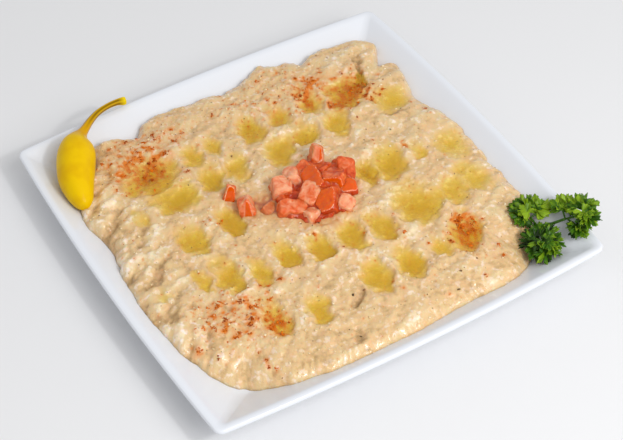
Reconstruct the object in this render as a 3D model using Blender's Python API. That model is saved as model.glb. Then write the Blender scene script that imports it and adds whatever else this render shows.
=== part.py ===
"""Baba ganoush spread on a soft-square white plate, with tomato dice heaped in its middle,
a pickled yellow pepper over one corner and a sprig of parsley in the opposite corner.

The origin is the middle of the plate's foot, on the table. The plate's sides lie along X
and Y, and +Z is up. All lengths below are in millimetres; MM turns them into metres.
"""

import math

import bmesh
import bpy
from mathutils import Matrix, Vector, noise

MM = 0.001
GAP = 0.3  # clearance between neighbouring pieces

# Plate: the widest ring is PLATE_SIDE across the middles of two opposite sides.
PLATE_SIDE = 255.0
PLATE_HEIGHT = 22.0
SIDE_BULGE = 4.2  # how far the middle of a side stands out past its ends
SIDE_STEPS = 9
CORNER_STEPS = 4
FLOOR_HEIGHT = 5.0
# (distance from the middle of the plate to the middle of a side, height, corner radius)
# The underside has a flat support in its middle and a square foot ring.
PLATE_UNDERSIDE = (
    (16.0, 0.0, 8.0),
    (17.5, 1.2, 9.0),
    (88.0, 1.2, 18.0),
    (90.0, 0.0, 19.0),
    (96.0, 0.0, 20.0),
    (98.5, 1.6, 20.0),
    (104.0, 3.4, 19.0),
    (113.0, 9.0, 16.0),
    (121.0, 14.6, 11.0),
    (125.6, 17.4, 8.0),
    (127.1, 18.2, 6.0),
)
PLATE_LIP = (
    (PLATE_SIDE / 2, 19.2, 5.3),
    (PLATE_SIDE / 2, PLATE_HEIGHT - 1.3, 5.3),
    (127.0, PLATE_HEIGHT - 0.4, 5.0),
    (126.0, PLATE_HEIGHT, 4.6),
    (124.2, PLATE_HEIGHT, 4.2),
)
PLATE_INSIDE = (
    (122.8, 21.5, 4.0),
    (121.2, 20.4, 4.0),
    (101.5, 6.5, 6.0),
    (99.0, 5.5, 7.0),
    (95.5, FLOOR_HEIGHT, 8.0),
)

# Dip: a rounded box seen from above, with scallops and notches along its edge.
DIP_LEFT = 113.5
DIP_RIGHT = 112.0
DIP_FRONT = 115.5
DIP_BACK = 112.5
DIP_CORNER = {"front_left": 74.0, "front_right": 64.0, "back_right": 18.0, "back_left": 66.0}
# (direction in degrees, how far the edge stands out there, width in degrees)
DIP_SCALLOPS = (
    (165, -5.0, 8),
    (-170, 2.0, 8),
    (-69, -5.0, 9),
    (0, 2.0, 10),
    (22, -5.0, 6),
    (38.3, -9.0, 2.2),
    (58.3, -8.0, 3),
    (72.5, 4.0, 4),
    (85, -1.8, 5),
    (119.5, -8.0, 3),
)
DIP_TOP = 21.6
DIP_EDGE = 1.1  # thickness of the dip right at its edge
DIP_MOUND = 1.4
MOUND_RADIUS = 48.0
FLANK_WIDTH = 2.4  # how far in from its edge a thin dip takes to rise, and how much more for each mm
FLANK_GROWTH = 0.55
SWELLS = ((26.0, 0.9), (11.0, 0.5))  # (distance between swells, their height)
RIM_RISE = 0.14  # share of a finger mark's depth that is pushed up round it
RIM_RADIUS = 1.05
RIM_WIDTH = 0.22
GRID_STEPS = 39
# Finger marks: (x, y, half width, half length, depth, lean in degrees). Row by row from the back.
DIMPLES = (
    (-66, 65, 21, 18, 4.4, 0),
    (-37, 68, 8, 15, 2.8, 0),
    (-23, 68, 7, 14, 2.8, 0),
    (4, 69, 10, 17, 4.0, -12),
    (23, 70, 10, 15, 3.6, 0),
    (46, 71, 9, 18, 3.6, 0),
    (68, 69, 18, 19, 4.4, -15),
    (-62, 42, 16, 16, 3.4, -8),
    (-35, 45, 9, 16, 3.8, -15),
    (-20, 42, 10, 16, 3.8, -18),
    (9, 45, 11, 20, 4.2, -20),
    (29, 48, 12, 14, 3.8, -25),
    (51, 46, 10, 15, 3.8, -22),
    (89, 47, 17, 15, 3.6, -20),
    (-68, 5, 11, 16, 4.0, -5),
    (-44, 8, 9, 17, 4.2, 5),
    (42, 3, 8, 17, 4.6, 0),
    (57, 2, 13, 20, 4.2, -8),
    (100, -3, 14, 20, 3.6, -5),
    (-78, -26, 5, 10, 2.8, 0),
    (-65, -29, 9, 19, 4.0, 0),
    (-49, -36, 7, 13, 3.6, 0),
    (-29, -29, 9, 16, 3.8, 0),
    (-11, -36, 10, 14, 4.2, 0),
    (8, -37, 10, 18, 4.2, 0),
    (27, -41, 10, 16, 3.9, 0),
    (54, -36, 17, 19, 4.4, 0),
    (76, -39, 11, 16, 3.8, 0),
    (94, -36, 14, 16, 3.4, 0),
    (-59, -68, 10, 19, 4.0, 0),
    (-35, -75, 9, 15, 4.2, -15),
    (4, -71, 11, 18, 4.2, 0),
    (25, -72, 10, 17, 4.2, 0),
    (48, -73, 7, 10, 3.2, 0),
    (65, -70, 12, 19, 4.4, -22),
)
# Creases between folds: (start x, start y, end x, end y, depth, half width)
CREASES = (
    (93, 100, 80, 70, 4.5, 3.0),
    (-112, 33, -88, 52, 2.4, 2.6),
    (-113, -4, -103, 6, 2.0, 2.2),
    (-18, -82, -5, -75, 2.6, 2.2),
    (-26, -112, -25, -100, 2.2, 2.0),
    (-110, -76, -105, -58, 2.0, 2.4),
    (75, 38, 92, 30, 1.6, 3.0),
)

# Pepper: stations along its middle line, (x, y, z, radius), from the tip to the stem's cut end.
PEPPER_BODY = (
    (-110.4, 64.4, 19.4, 1.6),
    (-109.6, 66.4, 19.9, 4.4),
    (-108.4, 70.0, 20.7, 6.7),
    (-106.4, 75.5, 22.0, 8.9),
    (-103.6, 83.0, 23.6, 10.7),
    (-99.2, 92.0, 25.2, 11.5),
    (-95.3, 99.0, 26.4, 11.3),
    (-92.4, 104.0, 27.2, 9.6),
    (-89.6, 107.4, 27.8, 6.6),
    (-86.6, 110.0, 28.2, 3.9),
)
PEPPER_STEM = (
    (-82.8, 112.9, 28.3, 2.5),
    (-76.6, 117.9, 28.3, 2.1),
    (-69.6, 122.3, 28.0, 1.9),
    (-61.8, 125.2, 27.6, 1.9),
    (-55.4, 125.8, 27.2, 2.1),
    (-51.6, 124.7, 26.8, 2.6),
)
PEPPER_SIDES = 14

# Tomato dice: (x, y, z, length, width, height, turn, tip, roll in degrees)
TOMATO_DICE = (
    (-33.5, 24.5, 22.6, 9, 6, 9, 62, 20, 15),
    (-31.0, 10.5, 23.0, 12, 9, 9, 58, 14, -28),
    (-20.5, 2.5, 21.4, 11, 9, 8, 20, 8, 12),
    (-8.0, 10.6, 24.6, 11, 9, 9, 75, -10, 12),
    (-10.4, -6.4, 23.8, 13, 9, 8, -22, 10, 8),
    (1.6, 13.2, 25.4, 10, 8, 9, 68, 12, -20),
    (3.2, -3.2, 25.0, 11, 10, 9, 30, -18, 10),
    (10.8, 3.6, 26.4, 17, 8, 8, 82, 4, -24),
    (20.6, -1.4, 25.8, 11, 10, 10, 48, 14, -12),
    (30.2, 3.8, 24.8, 12, 9, 9, 55, -12, 22),
    (25.4, -7.6, 22.8, 10, 8, 7, -15, 6, 14),
    (9.4, -13.6, 24.4, 12, 10, 9, 64, -14, -22),
    (-1.4, -15.2, 22.8, 11, 9, 7, 12, 10, -10),
    (17.4, -18.8, 22.8, 9, 8, 8, 40, -8, 18),
    (21.6, 19.6, 26.0, 11, 9, 13, 60, 26, 10),
    (11.2, 17.6, 23.8, 9, 8, 7, 25, -6, 12),
    (18.4, 9.6, 24.8, 9, 8, 8, 35, 12, -16),
)
NEIGHBOUR_REACH = 17.0
CORNER_CUT = 0.86  # how far along its diagonal a die's corners are cut off
BLANK_SIZE = 60.0  # the block that a die is cut from

# Parsley: leaf pads, (x, y, z, radius, lobes, direction in degrees, slope along X, slope along Y)
PARSLEY_LEAVES = (
    (103.5, -74.0, 20.8, 12.5, 7, 120, 0.02, 0.04),
    (112.0, -78.5, 22.4, 8.0, 5, 70, 0.10, 0.05),
    (98.5, -99.0, 16.0, 14.6, 9, -95, 0.10, 0.0),
    (119.7, -87.0, 26.6, 9.0, 7, 80, 0.12, 0.08),
    (126.0, -102.6, 32.4, 11.2, 9, 5, 0.14, 0.0),
    (117.6, -105.6, 23.4, 9.4, 7, -70, 0.16, 0.0),
)
# Pairs of leaves that a stem joins, and how far the stem's middle sags
PARSLEY_STEMS = ((0, 2, 0.5), (1, 2, 1.0), (2, 3, 3.0), (3, 4, 1.0), (4, 5, 1.0), (1, 3, 1.5))
STEM_RADIUS = 0.9
STEM_STEPS = 8
STEM_CLEARANCE = 0.6
LEAF_RINGS = (0.3, 0.7, 1.0)
LEAF_THICKNESS = 1.8
LEAF_THINNING = 0.35  # share of its thickness that a leaf loses towards its edge
LEAF_CLEARANCE = 0.9
LOBE_DEPTH = 0.18
RUFFLE_HEIGHT = 0.9


def material(name, red, green, blue, roughness):
    """A Principled material with a plain colour, given as linear red, green and blue."""
    made = bpy.data.materials.new(name)
    made.use_nodes = True
    shader = made.node_tree.nodes["Principled BSDF"]
    shader.inputs["Base Color"].default_value = (red, green, blue, 1.0)
    shader.inputs["Roughness"].default_value = roughness
    shader.inputs["Metallic"].default_value = 0.0
    return made


def add_piece(name, mesh, finish=None, crease=35.0):
    """Turn a bmesh in millimetres into an object in metres with outward faces."""
    bmesh.ops.recalc_face_normals(mesh, faces=mesh.faces)
    bmesh.ops.scale(mesh, vec=(MM, MM, MM), verts=mesh.verts)
    data = bpy.data.meshes.new(name)
    mesh.to_mesh(data)
    mesh.free()
    piece = bpy.data.objects.new(name, data)
    bpy.context.scene.collection.objects.link(piece)
    if finish:
        data.materials.append(finish)
        data.shade_smooth()
        data.set_sharp_from_angle(angle=math.radians(crease))
    else:
        piece.hide_render = True
        piece.display_type = "WIRE"
    return piece


def bridge(mesh, rings, cap=True):
    """Join rings of equal length into a skin, and close its first and last ring."""
    loops = [[mesh.verts.new(point) for point in ring] for ring in rings]
    count = len(loops[0])
    for low, high in zip(loops, loops[1:]):
        for i in range(count):
            j = (i + 1) % count
            mesh.faces.new((low[i], low[j], high[j], high[i]))
    if cap:
        mesh.faces.new(loops[0][::-1])
        mesh.faces.new(loops[-1])
    return loops


def soft_square(half, height, corner):
    """A square ring with slightly bowed sides and round corners, counter-clockwise."""
    bulge = SIDE_BULGE * half / (PLATE_SIDE / 2)
    tip = half - bulge
    tilt = math.atan2(2 * bulge, tip)
    centre = tip - corner * math.cos(math.pi / 4) / math.sin(math.pi / 4 + tilt)
    reach = centre + corner * math.sin(tilt)
    ring = []
    for quarter in range(4):
        turn = Matrix.Rotation(quarter * math.pi / 2, 2)
        side = []
        for i in range(SIDE_STEPS):
            y = reach * (2 * i / SIDE_STEPS - 1)
            side.append(Vector((half - bulge * (y / tip) ** 2, y)))
        for i in range(CORNER_STEPS):
            angle = tilt + (math.pi / 2 - 2 * tilt) * i / CORNER_STEPS
            side.append(Vector((centre + corner * math.cos(angle), centre + corner * math.sin(angle))))
        ring += [(*(turn @ point), height) for point in side]
    return ring


def ring_size(x, y):
    """The half width of the plate ring through (x, y)."""
    along, across = max(abs(x), abs(y)), min(abs(x), abs(y))
    half = along
    for _ in range(4):
        bulge = SIDE_BULGE * half / (PLATE_SIDE / 2)
        half = along + bulge * (across / max(half - bulge, 1.0)) ** 2
    return half


def plate_surface(x, y):
    """Height of the plate's upper side at (x, y), up to the lip."""
    half = ring_size(x, y)
    steps = (*PLATE_INSIDE[::-1], PLATE_LIP[-1])
    if half <= steps[0][0]:
        return FLOOR_HEIGHT
    for (near, low, _), (far, high, _) in zip(steps, steps[1:]):
        if half <= far:
            return low + (high - low) * (half - near) / (far - near)
    return PLATE_HEIGHT


def make_plate(finish):
    mesh = bmesh.new()
    profile = (*PLATE_UNDERSIDE, *PLATE_LIP, *PLATE_INSIDE)
    bridge(mesh, [soft_square(*step) for step in profile])
    return add_piece("plate", mesh, finish)


def make_hollow():
    """The space over the plate's upper side that food can fill, up to well above the lip."""
    mesh = bmesh.new()
    rings = [soft_square(half - GAP, height + GAP, corner) for half, height, corner in PLATE_INSIDE[::-1]]
    rings.append(soft_square(PLATE_INSIDE[0][0] - GAP, 3 * PLATE_HEIGHT, PLATE_INSIDE[0][2]))
    bridge(mesh, rings)
    return add_piece("cutter_hollow", mesh)


def dip_reach(angle):
    """Distance from the middle of the plate to the dip's edge, in the direction of angle."""
    east, north = math.cos(angle), math.sin(angle)
    wide = DIP_RIGHT if east > 0 else DIP_LEFT
    deep = DIP_BACK if north > 0 else DIP_FRONT
    corner = DIP_CORNER[("back_" if north > 0 else "front_") + ("right" if east > 0 else "left")]
    c, s = abs(east), abs(north)
    reach = min(wide / max(c, 1e-6), deep / max(s, 1e-6))
    if reach * c > wide - corner and reach * s > deep - corner:
        x, y = wide - corner, deep - corner
        middle = c * x + s * y
        reach = middle + math.sqrt(middle * middle - x * x - y * y + corner * corner)
    for direction, amount, width in DIP_SCALLOPS:
        off = (math.degrees(angle) - direction + 180) % 360 - 180
        reach += amount * math.exp(-((off / width) ** 2))
    return reach


def segment_distance(x, y, x0, y0, x1, y1):
    """Distance from (x, y) to the segment between two points."""
    dx, dy = x1 - x0, y1 - y0
    share = min(1.0, max(0.0, ((x - x0) * dx + (y - y0) * dy) / (dx * dx + dy * dy)))
    return math.hypot(x - x0 - share * dx, y - y0 - share * dy)


def dip_height(x, y):
    """Height of the dip's surface: a spread with a rolled edge, finger marks and creases."""
    angle = math.atan2(y, x)
    reach = dip_reach(angle)
    inside = max(0.0, reach - math.hypot(x, y))
    edge = plate_surface(reach * math.cos(angle), reach * math.sin(angle)) + DIP_EDGE
    drop = DIP_TOP - edge
    flank = math.exp(-inside / (FLANK_WIDTH + FLANK_GROWTH * drop))
    relief = DIP_MOUND * math.exp(-(x * x + y * y) / MOUND_RADIUS**2)
    for layer, (distance, swell) in enumerate(SWELLS):
        relief += swell * noise.noise(Vector((x / distance, y / distance, 5.5 * layer)))
    for cx, cy, wide, long, depth, lean in DIMPLES:
        c, s = math.cos(math.radians(lean)), math.sin(math.radians(lean))
        u = (c * (x - cx) + s * (y - cy)) / wide
        v = (c * (y - cy) - s * (x - cx)) / long
        size = u * u + v * v
        if size < 1:
            relief -= depth * (1 - size) ** 2 * (1 - 0.25 * v)
        relief += RIM_RISE * depth * math.exp(-(((math.sqrt(size) - RIM_RADIUS) / RIM_WIDTH) ** 2))
    for x0, y0, x1, y1, depth, width in CREASES:
        away = segment_distance(x, y, x0, y0, x1, y1)
        relief -= depth * math.exp(-((away / width) ** 2))
    return edge + (drop + relief) * (1 - flank)


def make_dip(finish):
    """The dip: a square grid stretched to the dip's edge, closed by a wall and a floor."""
    mesh = bmesh.new()
    rows = []
    for j in range(GRID_STEPS + 1):
        row = []
        for i in range(GRID_STEPS + 1):
            u, v = 2 * i / GRID_STEPS - 1, 2 * j / GRID_STEPS - 1
            angle = math.atan2(v, u)
            reach = dip_reach(angle) * max(abs(u), abs(v))
            x, y = reach * math.cos(angle), reach * math.sin(angle)
            row.append(mesh.verts.new((x, y, dip_height(x, y))))
        rows.append(row)
    for low, high in zip(rows, rows[1:]):
        for i in range(GRID_STEPS):
            mesh.faces.new((low[i], low[i + 1], high[i + 1], high[i]))
    rim = rows[0][:-1] + [row[-1] for row in rows[:-1]]
    rim += rows[-1][:0:-1] + [row[0] for row in rows[:0:-1]]
    base = [mesh.verts.new((vert.co.x, vert.co.y, FLOOR_HEIGHT - 2)) for vert in rim]
    for i in range(len(rim)):
        j = (i + 1) % len(rim)
        mesh.faces.new((base[i], base[j], rim[j], rim[i]))
    mesh.faces.new(base[::-1])
    return add_piece("baba_ganoush", mesh, finish, crease=60.0)


def tube_rings(stations, sides, extra=0.0, ribs=0.0):
    """Rings round a bent middle line. extra widens them, and ribs gives soft ridges."""
    points = [Vector(station[:3]) for station in stations]
    rings = []
    side = Vector((0, 0, 1))
    for i, station in enumerate(stations):
        ahead = (points[min(i + 1, len(points) - 1)] - points[max(i - 1, 0)]).normalized()
        side = (side - ahead * side.dot(ahead)).normalized()
        other = ahead.cross(side)
        ring = []
        for k in range(sides):
            angle = 2 * math.pi * k / sides
            radius = station[3] * (1 + ribs * math.cos(3 * angle + 0.6)) + extra
            ring.append(points[i] + radius * (math.cos(angle) * side + math.sin(angle) * other))
        rings.append(ring)
    return rings


def pepper_mesh(extra=0.0):
    mesh = bmesh.new()
    rings = tube_rings(PEPPER_BODY + PEPPER_STEM, PEPPER_SIDES, extra, ribs=0.025)
    if extra:
        for end, inner in ((0, 1), (-1, -2)):
            out = sum(rings[end], Vector()) / PEPPER_SIDES - sum(rings[inner], Vector()) / PEPPER_SIDES
            rings[end] = [point + out.normalized() * extra for point in rings[end]]
    bridge(mesh, rings)
    return mesh


def die_planes(die):
    """The planes of one die as (point, outward normal): six sides and four cut corners."""
    x, y, z, length, width, height, turn, tip, roll = die
    centre = Vector((x, y, z))
    frame = Matrix.Rotation(math.radians(turn), 3, "Z")
    frame = frame @ Matrix.Rotation(math.radians(tip), 3, "Y")
    frame = frame @ Matrix.Rotation(math.radians(roll), 3, "X")
    half = Vector((length, width, height)) / 2
    planes = []
    for axis in range(3):
        for sign in (-1, 1):
            out = frame.col[axis] * sign
            planes.append((centre + out * half[axis], out))
    for k, (a, b, c) in enumerate(((1, 1, 1), (-1, 1, 1), (1, -1, 1), (-1, -1, 1))):
        corner = frame @ Vector((a * half.x, b * half.y, c * half.z))
        lean = frame @ Vector((a * (1 + 0.5 * math.sin(3.1 * k + x)), b, c * (1 + 0.4 * math.cos(2.3 * k + y))))
        planes.append((centre + corner * CORNER_CUT, lean.normalized()))
    return planes


def dice_planes():
    """Every die's planes, with neighbours parted by a plane halfway between them."""
    every = [die_planes(die) for die in TOMATO_DICE]
    for i, one in enumerate(TOMATO_DICE):
        for j, other in enumerate(TOMATO_DICE):
            here, there = Vector(one[:3]), Vector(other[:3])
            apart = there - here
            if i == j or apart.length > NEIGHBOUR_REACH:
                continue
            share = sum(one[3:6]) / (sum(one[3:6]) + sum(other[3:6]))
            out = apart.normalized()
            every[i].append((here + apart * share - out * GAP / 2, out))
    return every


def cut_block(planes, extra=0.0):
    """The solid inside all the planes, each moved outwards by extra."""
    mesh = bmesh.new()
    bmesh.ops.create_cube(mesh, size=BLANK_SIZE, matrix=Matrix.Translation(planes[0][0]))
    for point, out in planes:
        parts = mesh.verts[:] + mesh.edges[:] + mesh.faces[:]
        cut = bmesh.ops.bisect_plane(
            mesh, geom=parts, dist=1e-4, plane_co=point + out * extra, plane_no=out, clear_outer=True
        )
        edges = [part for part in cut["geom_cut"] if isinstance(part, bmesh.types.BMEdge)]
        if edges:
            bmesh.ops.contextual_create(mesh, geom=edges)
    bmesh.ops.dissolve_limit(
        mesh, angle_limit=math.radians(1), verts=mesh.verts, edges=mesh.edges, use_dissolve_boundaries=False
    )
    return mesh


def under_leaf(x, y):
    """Height of whatever lies under a leaf at (x, y): the dip or the plate."""
    inside = math.hypot(x, y) < dip_reach(math.atan2(y, x))
    return max(plate_surface(x, y), dip_height(x, y) if inside else 0.0)


def leaf_mesh(leaf):
    """One leaf pad: a lobed, ruffled fan that stays clear of what is under it."""
    x, y, z, radius, lobes, direction, slope_x, slope_y = leaf
    mesh = bmesh.new()
    around = lobes * 2
    low_rings, high_rings = [], []
    for share in LEAF_RINGS:
        low_ring, high_ring = [], []
        for k in range(around):
            angle = 2 * math.pi * k / around
            reach = radius * share * (1 - LOBE_DEPTH / 2 * share * (1 - math.cos(lobes * angle)))
            east = reach * math.cos(angle + math.radians(direction))
            north = reach * math.sin(angle + math.radians(direction))
            ruffle = RUFFLE_HEIGHT * share * math.sin(lobes * angle / 2 + 1)
            low = z + slope_x * east + slope_y * north + ruffle
            low = max(low, under_leaf(x + east, y + north) + LEAF_CLEARANCE)
            low_ring.append((x + east, y + north, low))
            high = low + LEAF_THICKNESS * (1 - LEAF_THINNING * share)
            high_ring.append((x + east, y + north, high))
        low_rings.append(low_ring)
        high_rings.append(high_ring)
    bridge(mesh, low_rings + high_rings[::-1])
    return mesh


def leaf_heart(leaf):
    """The middle of a leaf pad, halfway through its thickness."""
    x, y, z = leaf[:3]
    return Vector((x, y, max(z, under_leaf(x, y) + LEAF_CLEARANCE) + LEAF_THICKNESS / 2))


def stem_mesh(start, end, sag):
    mesh = bmesh.new()
    stations = []
    for i in range(STEM_STEPS + 1):
        share = i / STEM_STEPS
        point = start.lerp(end, share) - Vector((0, 0, 4 * sag * share * (1 - share)))
        lowest = under_leaf(point.x, point.y) + STEM_RADIUS + STEM_CLEARANCE
        stations.append((point.x, point.y, max(point.z, lowest), STEM_RADIUS))
    bridge(mesh, tube_rings(stations, 6))
    return mesh


def make_parsley(finish):
    """A sprig: leaf pads joined by thin stems into one solid."""
    parts = [add_piece(f"cutter_leaf_{i}", leaf_mesh(leaf)) for i, leaf in enumerate(PARSLEY_LEAVES)]
    for start, end, sag in PARSLEY_STEMS:
        stem = stem_mesh(leaf_heart(PARSLEY_LEAVES[start]), leaf_heart(PARSLEY_LEAVES[end]), sag)
        parts.append(add_piece(f"cutter_stem_{start}_{end}", stem))
    sprig = parts.pop(0)
    sprig.name = "parsley_sprig"
    sprig.data.materials.append(finish)
    sprig.hide_render = False
    sprig.display_type = "TEXTURED"
    for part in parts:
        add_boolean(sprig, "UNION", part)


def add_boolean(piece, operation, other):
    modifier = piece.modifiers.new(operation.title(), "BOOLEAN")
    modifier.operation = operation
    modifier.solver = "EXACT"
    modifier.object = other
    return modifier


def main():
    for item in list(bpy.data.objects):
        bpy.data.objects.remove(item)
    porcelain = material("glazed porcelain", 0.80, 0.80, 0.82, 0.12)
    aubergine = material("aubergine and sesame dip", 0.78, 0.58, 0.33, 0.42)
    pickle = material("pickled pepper skin", 0.72, 0.46, 0.01, 0.22)
    tomato = material("fresh tomato", 0.68, 0.10, 0.03, 0.20)
    herb = material("parsley leaf", 0.07, 0.20, 0.01, 0.45)

    make_plate(porcelain)
    dip = make_dip(aubergine)
    add_boolean(dip, "INTERSECT", make_hollow())
    add_piece("pickled_pepper", pepper_mesh(), pickle)
    add_boolean(dip, "DIFFERENCE", add_piece("cutter_pepper", pepper_mesh(GAP)))
    for number, planes in enumerate(dice_planes(), start=1):
        add_piece(f"tomato_dice_{number:02d}", cut_block(planes), tomato)
        add_boolean(dip, "DIFFERENCE", add_piece(f"cutter_dice_{number:02d}", cut_block(planes, GAP)))
    make_parsley(herb)


main()
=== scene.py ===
"""Looks of a plate of baba ganoush: porcelain plate, dip with oil and paprika, tomato dice,
a pickled pepper and a sprig of parsley. The tables and the shape functions are in
millimetres, and MM turns them into metres where a mesh is placed.
"""

import math

import bmesh
import bpy
import numpy as np
from bpy.props import FloatProperty, FloatVectorProperty, IntProperty, PointerProperty
from bpy.types import Operator, Panel, PropertyGroup
from mathutils import Matrix, Vector


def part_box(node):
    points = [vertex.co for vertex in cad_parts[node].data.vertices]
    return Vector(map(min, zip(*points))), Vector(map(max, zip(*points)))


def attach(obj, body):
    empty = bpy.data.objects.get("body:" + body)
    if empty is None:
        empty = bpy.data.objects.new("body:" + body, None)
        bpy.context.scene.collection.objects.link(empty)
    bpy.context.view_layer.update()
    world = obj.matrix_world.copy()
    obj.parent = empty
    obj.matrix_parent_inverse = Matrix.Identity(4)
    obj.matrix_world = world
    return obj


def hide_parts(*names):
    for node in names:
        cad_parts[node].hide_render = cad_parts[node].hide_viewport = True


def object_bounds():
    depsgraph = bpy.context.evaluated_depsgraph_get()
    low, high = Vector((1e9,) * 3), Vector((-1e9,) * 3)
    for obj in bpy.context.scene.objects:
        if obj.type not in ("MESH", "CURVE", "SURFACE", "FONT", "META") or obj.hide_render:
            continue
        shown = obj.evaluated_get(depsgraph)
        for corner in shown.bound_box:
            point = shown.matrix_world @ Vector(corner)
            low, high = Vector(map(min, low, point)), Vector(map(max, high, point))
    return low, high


bl_info = {
    "name": "Plate of baba ganoush",
    "version": (1, 0, 0),
    "blender": (4, 5, 0),
    "location": "View3D > Sidebar > Meze",
    "description": "Builds the looks of a plate of baba ganoush round its packed frame",
    "category": "Object",
}

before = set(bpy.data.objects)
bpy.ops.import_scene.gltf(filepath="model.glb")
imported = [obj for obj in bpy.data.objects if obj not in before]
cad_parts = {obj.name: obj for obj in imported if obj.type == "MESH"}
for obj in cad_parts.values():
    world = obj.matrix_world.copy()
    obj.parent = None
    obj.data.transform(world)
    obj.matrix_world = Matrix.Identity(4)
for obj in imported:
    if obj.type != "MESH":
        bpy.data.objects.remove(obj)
CAD_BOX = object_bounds()

MM = 0.001

# ---------------------------------------------------------------- plate

PLATE_LOW, PLATE_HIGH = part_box("plate")
PLATE_HALF = (PLATE_HIGH.x - PLATE_LOW.x) / 2 / MM
PLATE_HEIGHT = PLATE_HIGH.z / MM
SIDE_BULGE = 4.2  # how far the middle of a side stands out past its ends
PLATE_SIDE_POINTS = 14
PLATE_CORNER_POINTS = 8
FLOOR_HEIGHT = 5.0
# (distance from the plate's middle to the middle of a side, height, corner radius)
PLATE_UNDERSIDE = (
    (16.0, 0.0, 8.0),
    (17.5, 1.2, 9.0),
    (88.0, 1.2, 18.0),
    (90.2, 0.9, 19.0),
    (91.0, 0.0, 19.2),
    (95.4, 0.0, 20.0),
    (96.4, 0.6, 20.0),
    (98.5, 1.6, 20.0),
    (104.0, 3.4, 19.0),
    (113.0, 9.0, 16.0),
    (121.0, 14.6, 11.0),
    (125.6, 17.6, 8.0),
    (127.0, 18.7, 6.0),
)
PLATE_LIP = (
    (PLATE_HALF - 0.02, 19.6, 5.3),
    (PLATE_HALF - 0.02, PLATE_HEIGHT - 1.2, 5.3),
    (PLATE_HALF - 0.4, PLATE_HEIGHT - 0.35, 5.0),
    (PLATE_HALF - 1.3, PLATE_HEIGHT, 4.6),
    (PLATE_HALF - 2.8, PLATE_HEIGHT - 0.1, 4.2),
)
PLATE_INSIDE = (
    (123.2, 21.5, 4.0),
    (121.2, 20.2, 4.0),
    (111.4, 13.3, 5.0),
    (101.5, 6.6, 6.0),
    (99.0, 5.5, 7.0),
    (95.5, FLOOR_HEIGHT, 8.0),
    (60.0, FLOOR_HEIGHT, 8.0),
)

# ---------------------------------------------------------------- dip

DIP_LEFT = 113.5
DIP_RIGHT = 112.0
DIP_FRONT = 115.5
DIP_BACK = 112.5
DIP_CORNERS = {(1, 1): 18.0, (1, -1): 64.0, (-1, 1): 66.0, (-1, -1): 74.0}
# (direction in degrees, how far the edge stands out there, width in degrees)
DIP_SCALLOPS = (
    (165, -5.0, 8),
    (-170, 2.0, 8),
    (-69, -5.0, 9),
    (0, 2.0, 10),
    (22, -5.0, 6),
    (38.3, -9.0, 2.2),
    (50, -3.5, 4),
    (59.5, -5.0, 2.6),
    (72.5, 4.0, 4),
    (85, -1.8, 5),
    (118.3, -8.0, 3.4),
    (127.5, 5.0, 4),
)
DIP_TOP = 21.6
FOOT_SHARE = 0.86  # width of the dip where it meets the plate's floor, beside its width at its edge
DIP_MOUND = 1.4
MOUND_RADIUS = 48.0
SWEEP = math.radians(23)  # the direction that the spoon was drawn in
# Finger marks, row by row from the back: (x, y, half width, half length, depth,
# lean in degrees, share of the depth that is filled with oil)
FINGER_MARKS = (
    (-66, 65, 22, 18, 4.2, 0, 0.92),
    (-37, 68, 8, 15, 2.8, 0, 0.85),
    (-23, 68, 7, 14, 2.8, 0, 0.85),
    (4, 69, 10, 17, 3.8, -12, 0.93),
    (23, 70, 10, 15, 3.6, 0, 0.70),
    (46, 71, 9, 18, 3.6, 0, 0.80),
    (68, 69, 18, 19, 4.4, -15, 0.78),
    (-62, 42, 16, 16, 3.2, -8, 0.93),
    (-35, 45, 9, 16, 3.8, -15, 0.80),
    (-20, 42, 10, 16, 3.8, -18, 0.80),
    (9, 45, 11, 20, 4.2, -20, 0.80),
    (29, 48, 12, 14, 3.8, -25, 0.80),
    (51, 46, 10, 15, 3.8, -22, 0.82),
    (89, 47, 17, 15, 2.8, -20, 0.82),
    (-68, 5, 11, 16, 3.8, -5, 0.97),
    (-44, 8, 9, 17, 4.0, 5, 0.90),
    (42, 3, 8, 17, 4.6, 0, 0.75),
    (57, 2, 13, 20, 3.6, -8, 0.84),
    (100, -3, 14, 20, 3.0, -5, 0.80),
    (-78, -26, 5, 10, 2.8, 0, 0.80),
    (-65, -29, 9, 19, 3.8, 0, 0.90),
    (-49, -36, 7, 13, 3.4, 0, 0.95),
    (-29, -29, 9, 16, 3.8, 0, 0.80),
    (-11, -36, 10, 14, 4.2, 0, 0.80),
    (8, -37, 10, 18, 4.0, 0, 0.94),
    (27, -41, 10, 16, 3.9, 0, 0.80),
    (54, -36, 17, 19, 3.2, 0, 0.90),
    (76, -39, 11, 16, 2.9, 0, 0.86),
    (94, -36, 14, 16, 2.7, 0, 0.74),
    (-59, -68, 10, 19, 4.0, 0, 0.70),
    (-35, -75, 9, 15, 4.2, -15, 0.76),
    (4, -71, 11, 18, 4.2, 0, 0.86),
    (25, -72, 10, 17, 4.2, 0, 0.80),
    (48, -73, 7, 10, 3.2, 0, 0.80),
    (65, -70, 12, 19, 4.4, -22, 0.74),
    (-86, 34, 6, 8, 1.8, 0, 0.7),
    (78, 0, 6, 9, 1.6, 0, 0.6),
    (-103, -24, 5, 8, 1.6, 0, 0.6),
)
# Creases between folds: (start x, start y, end x, end y, depth, half width)
CREASES = (
    (94, 94, 80, 62, 3.8, 2.0),
    (-112, 33, -88, 52, 2.4, 2.2),
    (-113, -4, -103, 6, 2.0, 1.8),
    (-17, -85, -6, -76, 2.6, 2.4),
    (-28, -110, -24, -99, 2.0, 2.2),
    (-110, -76, -105, -58, 2.0, 2.0),
    (75, 38, 92, 30, 1.6, 2.4),
    (-108, 12, -96, 26, 1.6, 1.6),
    (-104, -12, -92, -2, 1.4, 1.4),
    (38, 10, 48, -8, 1.2, 1.2),
)
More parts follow.
